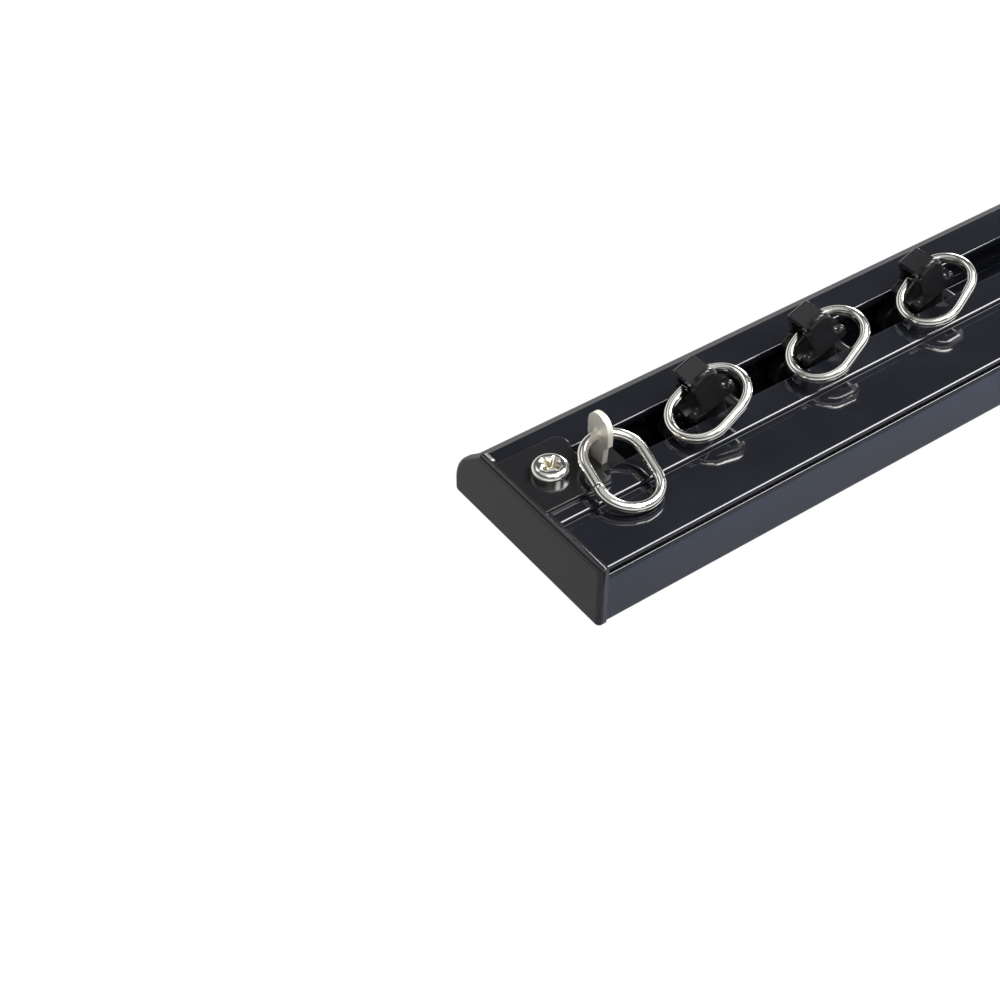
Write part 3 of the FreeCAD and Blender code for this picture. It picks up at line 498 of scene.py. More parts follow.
def screw_nickel(colours):
    """Nickel plated screw: fine specks on the plate, and painted shade down in the recess, where the plate is
    mixed towards a darker, warmer colour.
    """
    finish = Finish("screw_nickel", Metallic=1.0)
    low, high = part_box("cap_screw_left")
    middle = (low + high) / 2
    along = abs(finish.axis("X")) - abs(middle.x)
    across = finish.axis("Y") - middle.y
    inner = 2.6 * MM
    outer = 3.0 * MM
    outside = finish.between(along * along + across * across, inner ** 2, outer ** 2)
    above = finish.between(finish.axis("Z"), high.z - 0.4 * MM, high.z - 0.05 * MM)
    # Painted shade: down in the recess the plate's colour is mixed towards the darker, warmer recess colour
    painted_recess_shade = (1 - above) * (1 - outside)
    speck = finish.noise(1800.0, 3.0, 0.7)
    plate = finish.mix(speck, tinted(colours.nickel, 0.88), tinted(colours.nickel, 1.04))
    finish.vary("Base Color", finish.mix(painted_recess_shade * 0.9, plate, tinted(colours.recess)))
    finish.vary("Roughness", 0.1 + speck * 0.06 + painted_recess_shade * 0.3)
    finish.bump(speck, 0.000003)
    return finish.material


def drawn_steel(colours):
    """Drawn steel with its cloudy grain."""
    finish = Finish("drawn_steel", Metallic=1.0)
    grain = finish.noise(900.0, 4.0, 0.75)
    finish.vary("Base Color", finish.mix(grain, tinted(colours.steel, 0.75), tinted(colours.steel, 1.1)))
    finish.vary("Roughness", 0.25 + grain * 0.2)
    finish.bump(grain, 0.00001)
    return finish.material


def black_oxide(colours):
    """Blackened steel, dull and slightly cloudy."""
    finish = Finish("black_oxide", IOR=1.5)
    cloud = finish.noise(600.0, 4.0, 0.7)
    finish.vary("Base Color", finish.mix(cloud, tinted(colours.oxide, 0.7), tinted(colours.oxide, 1.6)))
    finish.vary("Roughness", 0.25 + cloud * 0.15)
    finish.bump(cloud, 0.00001)
    return finish.material


FINISHES = {
    "rail_paint": gloss_coating,
    "cap_plastic": satin_moulding,
    "hook_plastic": hook_moulding,
    "wheel_plastic": wheel_moulding,
    "nickel_wire": bright_nickel,
    "nickel_plate": tumbled_nickel,
    "nickel_screw": screw_nickel,
    "blackened_steel": black_oxide,
    "axle_steel": drawn_steel,
}


def material_for(slot):
    """The material of one slot, made the first time that it is asked for."""
    maker = FINISHES[slot]
    made = bpy.data.materials.get(maker.__name__)
    return made or maker(bpy.context.scene.track_colours)


# Shapes

def put_in_scene(bm, name, slot, body, replaced):
    """Turns a bmesh into a finished piece: smooth shading, material, body and the nodes it stands for."""
    bmesh.ops.recalc_face_normals(bm, faces=bm.faces)
    mesh = bpy.data.meshes.new(name)
    bm.to_mesh(mesh)
    bm.free()
    piece = bpy.data.objects.new(name, mesh)
    bpy.context.scene.collection.objects.link(piece)
    for polygon in mesh.polygons:
        polygon.use_smooth = True
    mesh.set_sharp_from_angle(angle=SMOOTH)
    weighted = piece.modifiers.new("even_shading", "WEIGHTED_NORMAL")
    weighted.keep_sharp = True
    mesh.materials.append(material_for(slot))
    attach(piece, body)
    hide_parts(*replaced)


def merged_copy(node):
    """A bmesh with a CAD node's own shape, its loose triangles merged."""
    bm = bmesh.new()
    bm.from_mesh(NODES[node].data)
    bmesh.ops.remove_doubles(bm, verts=bm.verts, dist=WELD)
    bmesh.ops.dissolve_limit(bm, angle_limit=math.radians(0.2), verts=bm.verts, edges=bm.edges)
    bmesh.ops.triangulate(bm, faces=[face for face in bm.faces if len(face.verts) > 4])
    return bm


def cut_off_above(bm, height):
    """Removes what lies above a height and closes the cut."""
    cut = bmesh.ops.bisect_plane(bm, geom=bm.verts[:] + bm.edges[:] + bm.faces[:], dist=WELD,
                                 plane_co=(0, 0, height), plane_no=(0, 0, 1), clear_outer=True)
    rim = [item for item in cut["geom_cut"] if isinstance(item, bmesh.types.BMEdge)]
    bmesh.ops.holes_fill(bm, edges=rim, sides=0)


def outlined_face(bm, corners, plane):
    """One face from a few corners, each rounded by its radius. The plane turns two numbers into a point."""
    verts = [bm.verts.new(plane(a, b)) for a, b, radius in corners]
    bm.faces.new(verts)
    count = len(corners)
    reaches = []
    for i, (a, b, radius) in enumerate(corners):
        back = Vector((corners[i - 1][0] - a, corners[i - 1][1] - b))
        ahead = Vector((corners[(i + 1) % count][0] - a, corners[(i + 1) % count][1] - b))
        reaches.append(radius / math.tan(back.angle(ahead) / 2))
    for vert, reach in zip(verts, reaches):
        if reach > 0:
            bmesh.ops.bevel(bm, geom=[vert], offset=reach, offset_type="OFFSET", segments=8, profile=0.5,
                            affect="VERTICES", material=-1)
    return bm.faces[:]


def thicken(bm, faces, by):
    """Extrudes a flat face into a closed plate."""
    made = bmesh.ops.extrude_face_region(bm, geom=faces, use_keep_orig=True)["geom"]
    moved = [item for item in made if isinstance(item, bmesh.types.BMVert)]
    bmesh.ops.translate(bm, verts=moved, vec=by)


def round_edges(bm, edges, radius, segments=4):
    """Rounds some edges."""
    bmesh.ops.bevel(bm, geom=edges, offset=radius, offset_type="OFFSET", segments=segments, profile=0.5,
                    affect="EDGES", material=-1)


def sharp_edges(bm):
    """Edges whose two faces meet at a sharp angle."""
    return [edge for edge in bm.edges if len(edge.link_faces) == 2 and edge.calc_face_angle() > SHARP]


def lathe(bm, profile, steps=64):
    """Turns a closed chain of (radius, height, rounding) points about Y."""
    verts = [bm.verts.new((radius, height, 0)) for radius, height, rounding in profile]
    for i in range(len(verts)):
        bm.edges.new((verts[i - 1], verts[i]))
    for vert, (radius, height, rounding) in zip(verts, profile):
        if rounding > 0:
            bmesh.ops.bevel(bm, geom=[vert], offset=rounding, offset_type="OFFSET", segments=6, profile=0.5,
                            affect="VERTICES", material=-1)
    bmesh.ops.spin(bm, geom=bm.edges[:] + bm.verts[:], cent=(0, 0, 0), axis=(0, 1, 0),
                   angle=math.tau, steps=steps, use_merge=True)
    bmesh.ops.remove_doubles(bm, verts=bm.verts, dist=FINE_WELD)


# Rail, caps and other pieces of the body that doesn't move

def rail_section(sizes):
    """Corners of the rail's section with its channel, then of the two closed chambers."""
    near = RAIL_LOW.y
    far = RAIL_HIGH.y
    top = RAIL_HIGH.z
    lip = top - sizes.rail_lip
    back = sizes.rail_back
    slot = sizes.slot_width / 2
    channel = sizes.channel_width / 2
    fine = 0.3 * MM
    slot_edge = 0.4 * MM
    wide = 0.6 * MM
    side_edge = 0.8 * MM
    foot = 1.2 * MM
    bright = sizes.bright_edge
    groove = near + sizes.groove_place
    side_top = top - sizes.side_groove_lip
    side_low = side_top - sizes.side_groove_height
    slope = sizes.bevel_drop / sizes.bevel_width
    outside = [
        (near, 0.0, foot),
        (far, 0.0, foot),
        (far, top - sizes.bevel_drop, sizes.bevel_foot),
        (far - sizes.bevel_width, top, wide),
        (SLOT_Y + slot, top, slot_edge),
        (SLOT_Y + slot, lip, 0.0),
    ]
    for side in (1, -1):
        wall = channel_wall(sizes, side)
        outside += wall if side > 0 else reversed(wall)
    outside += [
        (SLOT_Y - slot, lip, 0.0),
        (SLOT_Y - slot, top, slot_edge),
        (groove + sizes.groove_width, top, bright),
        (groove + sizes.groove_width, top - sizes.groove_depth, 0.0),
        (groove, top - sizes.groove_depth, 0.0),
        (groove, top, fine),
        (near, top, bright),
        (near, side_top, 0.0),
        (near + sizes.side_groove_depth, side_top, 0.0),
        (near + sizes.side_groove_depth, side_low, 0.0),
        (near, side_low, side_edge),
    ]
    near_wall = near + sizes.rail_wall
    near_web = SLOT_Y - channel - sizes.rail_web
    near_chamber = [
        (near_wall, back, wide),
        (near_web, back, wide),
        (near_web, lip, wide),
        (near_wall, lip, wide),
    ]
    far_wall = far - sizes.rail_wall
    far_web = SLOT_Y + channel + sizes.rail_web
    line = top + slope * (far - sizes.bevel_width) - sizes.rail_wall * math.hypot(1, slope)
    far_chamber = [
        (far_web, back, wide),
        (far_wall, back, wide),
        (far_wall, line - slope * far_wall, wide),
    ]
    roof_end = (line - lip) / slope
    if roof_end > far_web + 2 * fine:
        far_chamber += [(roof_end, lip, fine), (far_web, lip, fine)]
    else:
        far_chamber.append((far_web, line - slope * far_web, fine))
    return outside, near_chamber, far_chamber


def channel_wall(sizes, side):
    """Corners of one wall of the channel from the lip down, with its guide rib."""
    wall = SLOT_Y + side * sizes.channel_width / 2
    rib = wall - side * sizes.rib_reach
    low = sizes.rail_back + sizes.rib_place
    high = low + sizes.rib_thickness
    lip = RAIL_HIGH.z - sizes.rail_lip
    corner = 0.6 * MM
    rib_edge = 0.3 * MM
    return [
        (wall, lip, corner),
        (wall, high, 0.0),
        (rib, high, rib_edge),
        (rib, low, 0.0),
        (wall, low, 0.0),
        (wall, sizes.rail_back, corner),
    ]


def build_rail():
    """The extrusion, with its two chambers and two countersunk fixing holes cut out."""
    sizes = bpy.context.scene.track_sizes
    outside, *chambers = rail_section(sizes)
    start = RAIL_LOW.x
    length = RAIL_HIGH.x - RAIL_LOW.x
    rail = solid_along(outside, start, length)
    cutters = [solid_along(chamber, start - OVERCUT, length + 2 * OVERCUT) for chamber in chambers]
    sink = sizes.fixing_sink - sizes.fixing_radius
    above = 0.2 * MM
    for place in (RAIL_LOW.x + sizes.fixing_place, RAIL_HIGH.x - sizes.fixing_place):
        hole = bmesh.new()
        lathe(hole, [
            (0.0, -OVERCUT, 0.0),
            (sizes.fixing_radius, -OVERCUT, 0.0),
            (sizes.fixing_radius, sizes.rail_back - sink, 0.0),
            (sizes.fixing_sink + above, sizes.rail_back + above, 0.0),
            (0.0, sizes.rail_back + above, 0.0),
        ], 48)
        stand = Matrix.Translation((place, SLOT_Y, 0)) @ Matrix.Rotation(math.pi / 2, 4, "X")
        bmesh.ops.transform(hole, matrix=stand, verts=hole.verts)
        cutters.append(hole)
    put_in_scene(carved(rail, cutters), "rail_extrusion", "rail_paint", "track", ["rail"])


def solid_along(corners, start, length):
    """Closed solid along X with a rounded outline across the track."""
    bm = bmesh.new()
    faces = outlined_face(bm, corners, lambda a, b: (start, a, b))
    thicken(bm, faces, (length, 0, 0))
    return bm


def carved(bm, cutters):
    """A shape with others cut away from it."""
    body = loose_object(bm)
    tools = [loose_object(cutter) for cutter in cutters]
    for tool in tools:
        cut = body.modifiers.new("cut", "BOOLEAN")
        cut.operation = "DIFFERENCE"
        cut.solver = "EXACT"
        cut.object = tool
    bpy.context.view_layer.update()
    result = bmesh.new()
    result.from_object(body, bpy.context.evaluated_depsgraph_get())
    bmesh.ops.remove_doubles(result, verts=result.verts, dist=FINE_WELD)
    for item in [body] + tools:
        mesh = item.data
        bpy.data.objects.remove(item)
        bpy.data.meshes.remove(mesh)
    return result


def loose_object(bm):
    """A bmesh as an object that stands in the scene for a moment."""
    bmesh.ops.recalc_face_normals(bm, faces=bm.faces)
    mesh = bpy.data.meshes.new("shape")
    bm.to_mesh(mesh)
    bm.free()
    item = bpy.data.objects.new("shape", mesh)
    bpy.context.scene.collection.objects.link(item)
    return item


def build_caps():
    """The end caps, in their own shape."""
    for side in SIDES:
        put_in_scene(merged_copy("end_cap_" + side), "cap_moulding_" + side, "cap_plastic", "track",
                     ["end_cap_" + side])


def screw_head(sizes, under, top):
    """Flat-topped screw head about the Z axis, its cross recess left for the cutters."""
    shoulder = top - 0.85 * MM
    shoulder_edge = 0.5 * MM
    flat_edge = 0.45 * MM
    bm = bmesh.new()
    lathe(bm, [
        (0.0, under, 0.0),
        (sizes.screw_radius, under, 0.0),
        (sizes.screw_radius, shoulder, shoulder_edge),
        (sizes.screw_flat, top, flat_edge),
        (0.0, top, 0.0),
    ], 96)
    bmesh.ops.rotate(bm, verts=bm.verts, cent=(0, 0, 0), matrix=Matrix.Rotation(math.pi / 2, 3, "X"))
    return bm


def recess_cutters(sizes, top):
    """Two tapered arms and a pointed core that cut the cross recess."""
    cutters = []
    high = top + 0.3 * MM
    low = top - sizes.recess_depth
    foot_length = 0.9 * sizes.recess_length
    foot_width = 0.6 * sizes.recess_width
    for turn in (0.0, math.pi / 2):
        arm = bmesh.new()
        bmesh.ops.create_cube(arm, size=1.0)
        for vert in arm.verts:
            upper = vert.co.z > 0
            length = 2 * sizes.recess_length if upper else foot_length
            width = sizes.recess_width if upper else foot_width
            vert.co = (vert.co.x * length, vert.co.y * width, high if upper else low)
        upright = [edge for edge in arm.edges if abs(edge.verts[0].co.z - edge.verts[1].co.z) > MM]
        round_edges(arm, upright, 0.22 * MM, 3)
        bmesh.ops.rotate(arm, verts=arm.verts, cent=(0, 0, 0),
                         matrix=Matrix.Rotation(turn + sizes.recess_turn, 3, "Z"))
        cutters.append(arm)
    tip = 0.25 * MM
    mouth = 0.62 * sizes.recess_length
    deeper = 0.3 * MM
    core = bmesh.new()
    bmesh.ops.create_cone(core, cap_ends=True, segments=32, radius1=tip, radius2=mouth,
                          depth=high - low + deeper)
    bmesh.ops.translate(core, verts=core.verts, vec=(0, 0, (high + low - deeper) / 2))
    cutters.append(core)
    return cutters


def build_screws():
    """New heads on the screws' own shanks."""
    sizes = bpy.context.scene.track_sizes
    for side in SIDES:
        node = "cap_screw_" + side
        low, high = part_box(node)
        centre = (low + high) / 2
        under = high.z - sizes.screw_height
        shank = merged_copy(node)
        cut_off_above(shank, under + 2 * HAIR)
        head = carved(screw_head(sizes, under, high.z), recess_cutters(sizes, high.z))
        bmesh.ops.translate(head, verts=head.verts, vec=(centre.x, centre.y, 0))
        add_to(head, shank)
        put_in_scene(head, "pan_head_screw_" + side, "nickel_screw", "track", [node])


def build_fixings():
    """The screws, clamp plates and eyelets."""
    build_screws()
    for side in SIDES:
        put_in_scene(merged_copy("clamp_plate_" + side), "tapped_plate_" + side, "blackened_steel", "track",
                     ["clamp_plate_" + side])
        put_in_scene(merged_copy("eyelet_plate_" + side), "stamped_eyelet_" + side, "nickel_plate", "track",
                     ["eyelet_plate_" + side])


# Rings

def bent_wire(sizes, length, gap_place):
    """Oval ring in the XY plane, its length along X and its butt gap at one place on the +Y side."""
    bm = bmesh.new()
    bend = sizes.ring_breadth / 2
    straight = (length - sizes.ring_breadth) / 2
    first = gap_place + sizes.ring_gap / 2
    last = gap_place - sizes.ring_gap / 2
    start = Matrix.Translation((first, bend, 0)) @ Matrix.Rotation(math.pi / 2, 4, "Y")
    bmesh.ops.create_circle(bm, cap_ends=True, segments=32, radius=sizes.ring_wire / 2, matrix=start)
    loop = bm.edges[:]
    runs = [(straight - first, straight), (-2 * straight, -straight)]
    for run, centre in runs:
        loop = drawn_on(bm, loop, Vector((run, 0, 0)))
        turned = bmesh.ops.spin(bm, geom=loop, cent=(centre, 0, 0), axis=(0, 0, 1), angle=-math.pi, steps=44)
        loop = [item for item in turned["geom_last"] if isinstance(item, bmesh.types.BMEdge)]
    loop = drawn_on(bm, loop, Vector((last + straight, 0, 0)))
    bmesh.ops.holes_fill(bm, edges=loop, sides=0)
    cut_edge = 0.12 * MM
    round_edges(bm, sharp_edges(bm), cut_edge, 2)
    return bm


def drawn_on(bm, loop, run):
    """Extrudes a loop of edges along a straight run and gives its new edges."""
    made = bmesh.ops.extrude_edge_only(bm, edges=loop)["geom"]
    bmesh.ops.translate(bm, verts=[item for item in made if isinstance(item, bmesh.types.BMVert)], vec=run)
    return [item for item in made if isinstance(item, bmesh.types.BMEdge)]


def build_rings():
    """The wire rings of the eyelets and of the carriers."""
    sizes = bpy.context.scene.track_sizes
    for side in SIDES:
        node = "eyelet_ring_" + side
        bm = bent_wire(sizes, sizes.eyelet_ring_length, -sizes.eyelet_ring_gap_shift)
        finish_ring(bm, node, eyelet_ring_place(node, sizes))
    for index, carrier in enumerate(CARRIERS):
        bm = bent_wire(sizes, sizes.ring_length, 0.0)
        finish_ring(bm, carrier.replace("carrier", "ring"), carrier_ring_place(carrier, index, sizes))


def finish_ring(bm, node, place):
    """Puts a bent ring in its place."""
    bmesh.ops.transform(bm, matrix=place, verts=bm.verts)
    put_in_scene(bm, node + "_wire", "nickel_wire", node, [node])


def eyelet_ring_place(node, sizes):
    """The ring's round end turns about the eyelet's hole, and its length falls towards -Y."""
    pivot = Vector(HINGES[node]["pos_m"])
    low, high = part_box(node)
    drop = pivot.z - (low.z + sizes.ring_wire / 2)
    back = Matrix.Translation((-sizes.eyelet_ring_length / 2, 0, 0))
    turn = Matrix.Rotation(math.pi / 2 - sizes.eyelet_ring_turn, 4, "Z")
    lean = Matrix.Rotation(math.asin(drop / sizes.eyelet_ring_length), 4, "X")
    hand = Matrix.Scale(1 if pivot.x < 0 else -1, 4, (1, 0, 0))
    return Matrix.Translation(pivot) @ hand @ lean @ turn @ back


def carrier_ring_place(carrier, index, sizes):
    """The ring's long side with the gap lies in the hook's eye, slid and turned a little."""
    lie = Matrix.Translation((-sizes.ring_slid[index], sizes.ring_across[index],
                              hook_base(carrier, sizes) + sizes.ring_in_eye))
    turn = Matrix.Rotation(sizes.ring_turned[index], 4, "Z")
    return carrier_frame(carrier) @ lie @ turn @ Matrix.Translation((0, -sizes.ring_breadth / 2, 0))


def hook_base(carrier, sizes):
    """Height of a hook's base above the axles, from the hinge of the ring in its eye."""
    hinge = Vector(HINGES[carrier.replace("carrier", "ring")]["pos_m"])
    return (carrier_frame(carrier).inverted() @ hinge).z - sizes.ring_in_eye


def carrier_frame(carrier):
    """Matrix of a carrier's own axes: along, across and up from the middle between its axles."""
    wheels = [Vector(joint["pos_m"]) for joint in HINGES.values()
              if joint["parent"] == carrier and joint["child"].startswith("wheel")]
    centre = sum(wheels, Vector()) / len(wheels)
    along = (max(wheels, key=lambda p: p.x) - min(wheels, key=lambda p: p.x)).normalized()
    across = Vector((0, 1, 0))
    up = along.cross(across)
    turn = Matrix((along, across, up)).transposed().to_4x4()
    return Matrix.Translation(centre) @ turn


# Carriers

def half_width_levels(sizes):
    """Heights and half widths of a hook's side, from its foot over the shoulder to the narrow neck."""
    corner = sizes.hook_shoulder_radius
    sweep = sizes.hook_half_width - sizes.hook_neck - corner
    levels = [(0.0, sizes.hook_half_width)]
    for i in range(7):
        angle = math.radians(15 * i)
        levels.append((sizes.hook_shoulder - corner + corner * math.sin(angle),
                       sizes.hook_half_width - corner + corner * math.cos(angle)))
    for i in range(1, 9):
        angle = math.radians(90 * i / 8)
        levels.append((sizes.hook_shoulder + sweep - sweep * math.cos(angle),
                       sizes.hook_neck + sweep - sweep * math.sin(angle)))
    return levels


def half_width_at(levels, height):
    """Half width of a hook at one height, read between the levels."""
    for (low, low_half), (high, high_half) in zip(levels, levels[1:]):
        if height <= high:
            share = (height - low) / (high - low) if high > low else 1.0
            return low_half + (high_half - low_half) * share
    return levels[-1][1]


def hook_band(sizes):
    """Base, back panel and strap of a hook: one bent band, drawn in to a narrow neck."""
    bm = bmesh.new()
    half = sizes.hook_depth / 2
    front = -half + sizes.hook_panel
    strap_low = sizes.hook_strap_top - sizes.hook_strap
    tip = front + sizes.hook_snap_gap
    tip_edge = 0.3 * MM
    crown = 1.5 * MM
    eye_top = 1.3 * MM
    eye = (half - sizes.hook_panel) * NEARLY
    corners = [
        (front, 0.0, 0.0),
        (half, 0.0, 0.0),
        (half, sizes.hook_strap_top, crown),
        (tip, sizes.hook_strap_top, tip_edge),
        (tip, strap_low, tip_edge),
        (half - sizes.hook_panel, strap_low, eye_top),
        (half - sizes.hook_panel, sizes.hook_eye_bottom, eye),
        (front, sizes.hook_eye_bottom, eye),
    ]
    faces = outlined_face(bm, corners, lambda v, w: (-sizes.hook_half_width, v, w))
    thicken(bm, faces, (2 * sizes.hook_half_width, 0, 0))
    levels = half_width_levels(sizes)
    for height, _ in levels[1:]:
        bmesh.ops.bisect_plane(bm, geom=bm.verts[:] + bm.edges[:] + bm.faces[:], dist=WELD,
                               plane_co=(0, 0, height), plane_no=(0, 0, 1))
    for vert in bm.verts:
        vert.co.x *= half_width_at(levels, vert.co.z) / sizes.hook_half_width
    bm.normal_update()

    def outside(point):
        on_strap = point.z > strap_low + HAIR and point.y > tip + tip_edge + HAIR
        return on_strap or point.y > half - HAIR

    outer = [edge for edge in sharp_edges(bm)
             if edge.verts[0].co.x * edge.verts[1].co.x > 0 and all(outside(vert.co) for vert in edge.verts)]
    round_edges(bm, outer, sizes.hook_side_edge)
    return bm


def hook_tongue(sizes):
    """Front tongue of a hook: wide foot, narrow neck and a round top."""
    bm = bmesh.new()
    wide = sizes.hook_half_width
    neck = sizes.hook_tongue_half_width
    corner = sizes.hook_shoulder_radius
    sweep = wide - neck - corner
    top = sizes.hook_tongue_top
    shoulder = sizes.hook_shoulder
    right = [
        (wide, 0.0, 0.0),
        (wide, shoulder, corner),
        (neck, shoulder, sweep),
        (neck, top, neck * NEARLY),
    ]
    left = [(-a, b, radius) for a, b, radius in reversed(right)]
    half = sizes.hook_depth / 2
    faces = outlined_face(bm, right + left, lambda u, w: (u, -half, w))
    thicken(bm, faces, (0, sizes.hook_panel, 0))
    front = [edge for edge in sharp_edges(bm)
             if all(abs(vert.co.y + half) < WELD for vert in edge.verts)
             and max(vert.co.z for vert in edge.verts) > HAIR]
    round_edges(bm, front, sizes.hook_edge, 5)
    return bm


def add_to(bm, other):
    """Adds one bmesh's shape to another."""
    mesh = bpy.data.meshes.new("shape")
    other.to_mesh(mesh)
    other.free()
    bm.from_mesh(mesh)
    bpy.data.meshes.remove(mesh)


def build_carriers():
    """New hooks on the carriers' own bodies."""
    sizes = bpy.context.scene.track_sizes
    for carrier in CARRIERS:
        base = carrier_frame(carrier)
        height = hook_base(carrier, sizes)
        lower = merged_copy(carrier)
        bmesh.ops.transform(lower, matrix=base.inverted(), verts=lower.verts)
        cut_off_above(lower, height - HAIR)
        for part in (hook_band(sizes), hook_tongue(sizes)):
            bmesh.ops.translate(part, verts=part.verts, vec=(0, 0, height))
            add_to(lower, part)
        bmesh.ops.transform(lower, matrix=base, verts=lower.verts)
        put_in_scene(lower, carrier + "_moulding", "hook_plastic", carrier, [carrier])


# Wheels and axles

def build_wheels():
    """The wheels, turned with a rounded tread, a bore and a recess for the hub."""
    sizes = bpy.context.scene.track_sizes
    bore = sizes.axle_radius + 0.05 * MM
    hub = sizes.hub_radius + 0.2 * MM
    width = sizes.wheel_width
    tread_edge = 0.8 * MM
    hub_edge = 0.1 * MM
    for carrier in CARRIERS:
        base = carrier_frame(carrier)
        number = carrier.split("_")[1]
        for end in ("rear", "front"):
            for side, turn in (("far", 0.0), ("near", math.pi)):
                node = "wheel_%s_%s_%s" % (number, end, side)
                bm = bmesh.new()
                lathe(bm, [
                    (bore, 0.0, 0.0),
                    (sizes.wheel_radius, 0.0, tread_edge),
                    (sizes.wheel_radius, width, tread_edge),
                    (hub, width, hub_edge),
                    (hub, width - sizes.hub_recess, 0.0),
                    (bore, width - sizes.hub_recess, 0.0),
                ])
                pivot = base.inverted() @ Vector(HINGES[node]["pos_m"])
                low, high = wheel_reach(node)
                inner = low if side == "far" else high
                spot = Matrix.Translation((pivot.x, inner, 0)) @ Matrix.Rotation(turn, 4, "Z")
                bmesh.ops.transform(bm, matrix=base @ spot, verts=bm.verts)
                put_in_scene(bm, node + "_tread", "wheel_plastic", node, [node])


def wheel_reach(node):
    """How far a wheel reaches across the track, measured from the middle of the slot."""
    middle = HINGES[node]["pos_m"][1]
    low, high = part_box(node)
    return low.y - middle, high.y - middle


def build_axles():
    """The axles, in their own shape."""
    for carrier in CARRIERS:
        number = carrier.split("_")[1]
        for end in ("rear", "front"):
            node = "axle_%s_%s" % (number, end)
            put_in_scene(merged_copy(node), node + "_pin", "axle_steel", carrier, [node])


# Stage

# Softboxes: name, place, and size along X and across it, in metres
LAMPS = (
    ("key", (0.30, -0.12, 0.60), (0.36, 0.42)),
    ("fill", (-0.12, -0.25, 0.80), (0.70, 0.45)),
    ("ceiling", (-0.05, -0.20, 1.05), (1.9, 1.5)),
    ("back", (-0.28, 0.80, 1.0), (0.80, 0.35)),
    ("edge", (0.78, 0.56, 0.26), (0.28, 0.42)),
    ("rim", (-0.05, -0.60, 0.70), (0.30, 0.30)),
)


def build_stage():
    """The floor, the surroundings, the softboxes and the camera."""
    settings = bpy.context.scene.stage_settings
    colours = bpy.context.scene.track_colours
    scene = bpy.context.scene
    scene.view_settings.view_transform = "Standard"

    bm = bmesh.new()
    bmesh.ops.create_grid(bm, x_segments=1, y_segments=1, size=6.0)
    mesh = bpy.data.meshes.new("floor")
    bm.to_mesh(mesh)
    bm.free()
    floor = bpy.data.objects.new("floor", mesh)
    scene.collection.objects.link(floor)
    mesh.materials.append(floor_material(colours))

    scene.world = world_light(settings.horizon_light, settings.zenith_light)
    for name, place, size in LAMPS:
        add_lamp(name + "_softbox", place, size, getattr(settings, name + "_light"))

    camera_data = bpy.data.cameras.new("camera")
    camera_data.lens = settings.lens
    camera_data.sensor_width = 36.0
    camera_data.clip_start = 0.01
    camera = bpy.data.objects.new("camera", camera_data)
    camera.location = settings.camera_place
    aim = Vector(settings.camera_aim).normalized()
    camera.rotation_mode = "QUATERNION"
    camera.rotation_quaternion = aim.to_track_quat("-Z", "Y")
    scene.collection.objects.link(camera)
    scene.camera = camera


# Tones that gloss mirrors: plain white, the open floor, and the dark strip along the rail's foot, which is
# painted shade
WHITE = (1.0, 1.0, 1.0, 1.0)
OPEN_TONE = (1.1, 1.1, 1.1, 1.0)
PAINTED_GAP_SHADE = (0.02, 0.02, 0.02, 1.0)


def floor_material(colours):
    """Pale floor that is plain white to the camera; what gloss mirrors of it glows in tones set by place,
    painted reflections with painted shade beside the rail.
    """
    finish = Finish("pale_floor", Roughness=1.0)
    finish.vary("Base Color", tinted(colours.floor))
    x = finish.axis("X")
    y = finish.axis("Y")
    # Painted reflections: beside the rail the floor glows in set tones for the sides to mirror, then a dark
    # band of painted shade
    beyond = abs(y)
    lifted = finish.between(beyond, RAIL_HIGH.y, RAIL_HIGH.y + 9 * MM)
    dim = finish.between(beyond, RAIL_HIGH.y + 10.5 * MM, RAIL_HIGH.y + 11.5 * MM)
    side = finish.mix(lifted, tinted(colours.floor_close), tinted(colours.floor_mirrored))
    side = finish.mix(dim, side, PAINTED_GAP_SHADE)
    # Painted shade towards the far side, and a lighter painted tone at the rail's ends, for the far side and
    # caps to mirror
    far = finish.between(y, -15 * MM, 15 * MM)
    ends = finish.between(x * x, (RAIL_HIGH.x - 2 * MM) ** 2, (RAIL_HIGH.x + 3 * MM) ** 2)
    close = finish.mix(ends, finish.mix(far, side, tinted(colours.floor_shaded, 1.1)),
                       tinted(colours.floor_shaded, 1.9))
    open_floor = finish.between(beyond, 45 * MM, 90 * MM)
    # These tones glow for glossy rays only: painted reflections, not a lit floor
    painted_reflection_tones = emission(finish, finish.mix(open_floor, close, OPEN_TONE))
    white = emission(finish, WHITE)
    glossy = finish.node("ShaderNodeLightPath", {}, {}, "Is Glossy Ray")
    camera = finish.node("ShaderNodeLightPath", {}, {}, "Is Camera Ray")
    output = next(node for node in finish.tree.nodes if node.type == "OUTPUT_MATERIAL")
    pale = Value(finish, finish.shader.outputs["BSDF"])
    seen = finish.node("ShaderNodeMixShader", {}, {0: glossy, 1: pale, 2: painted_reflection_tones})
    shown = finish.node("ShaderNodeMixShader", {}, {0: camera, 1: seen, 2: white})
    finish.feed(output.inputs["Surface"], shown)
    return finish.material


def emission(finish, colour):
    """Plain glow of one tone."""
    return finish.node("ShaderNodeEmission", {}, {"Color": colour})


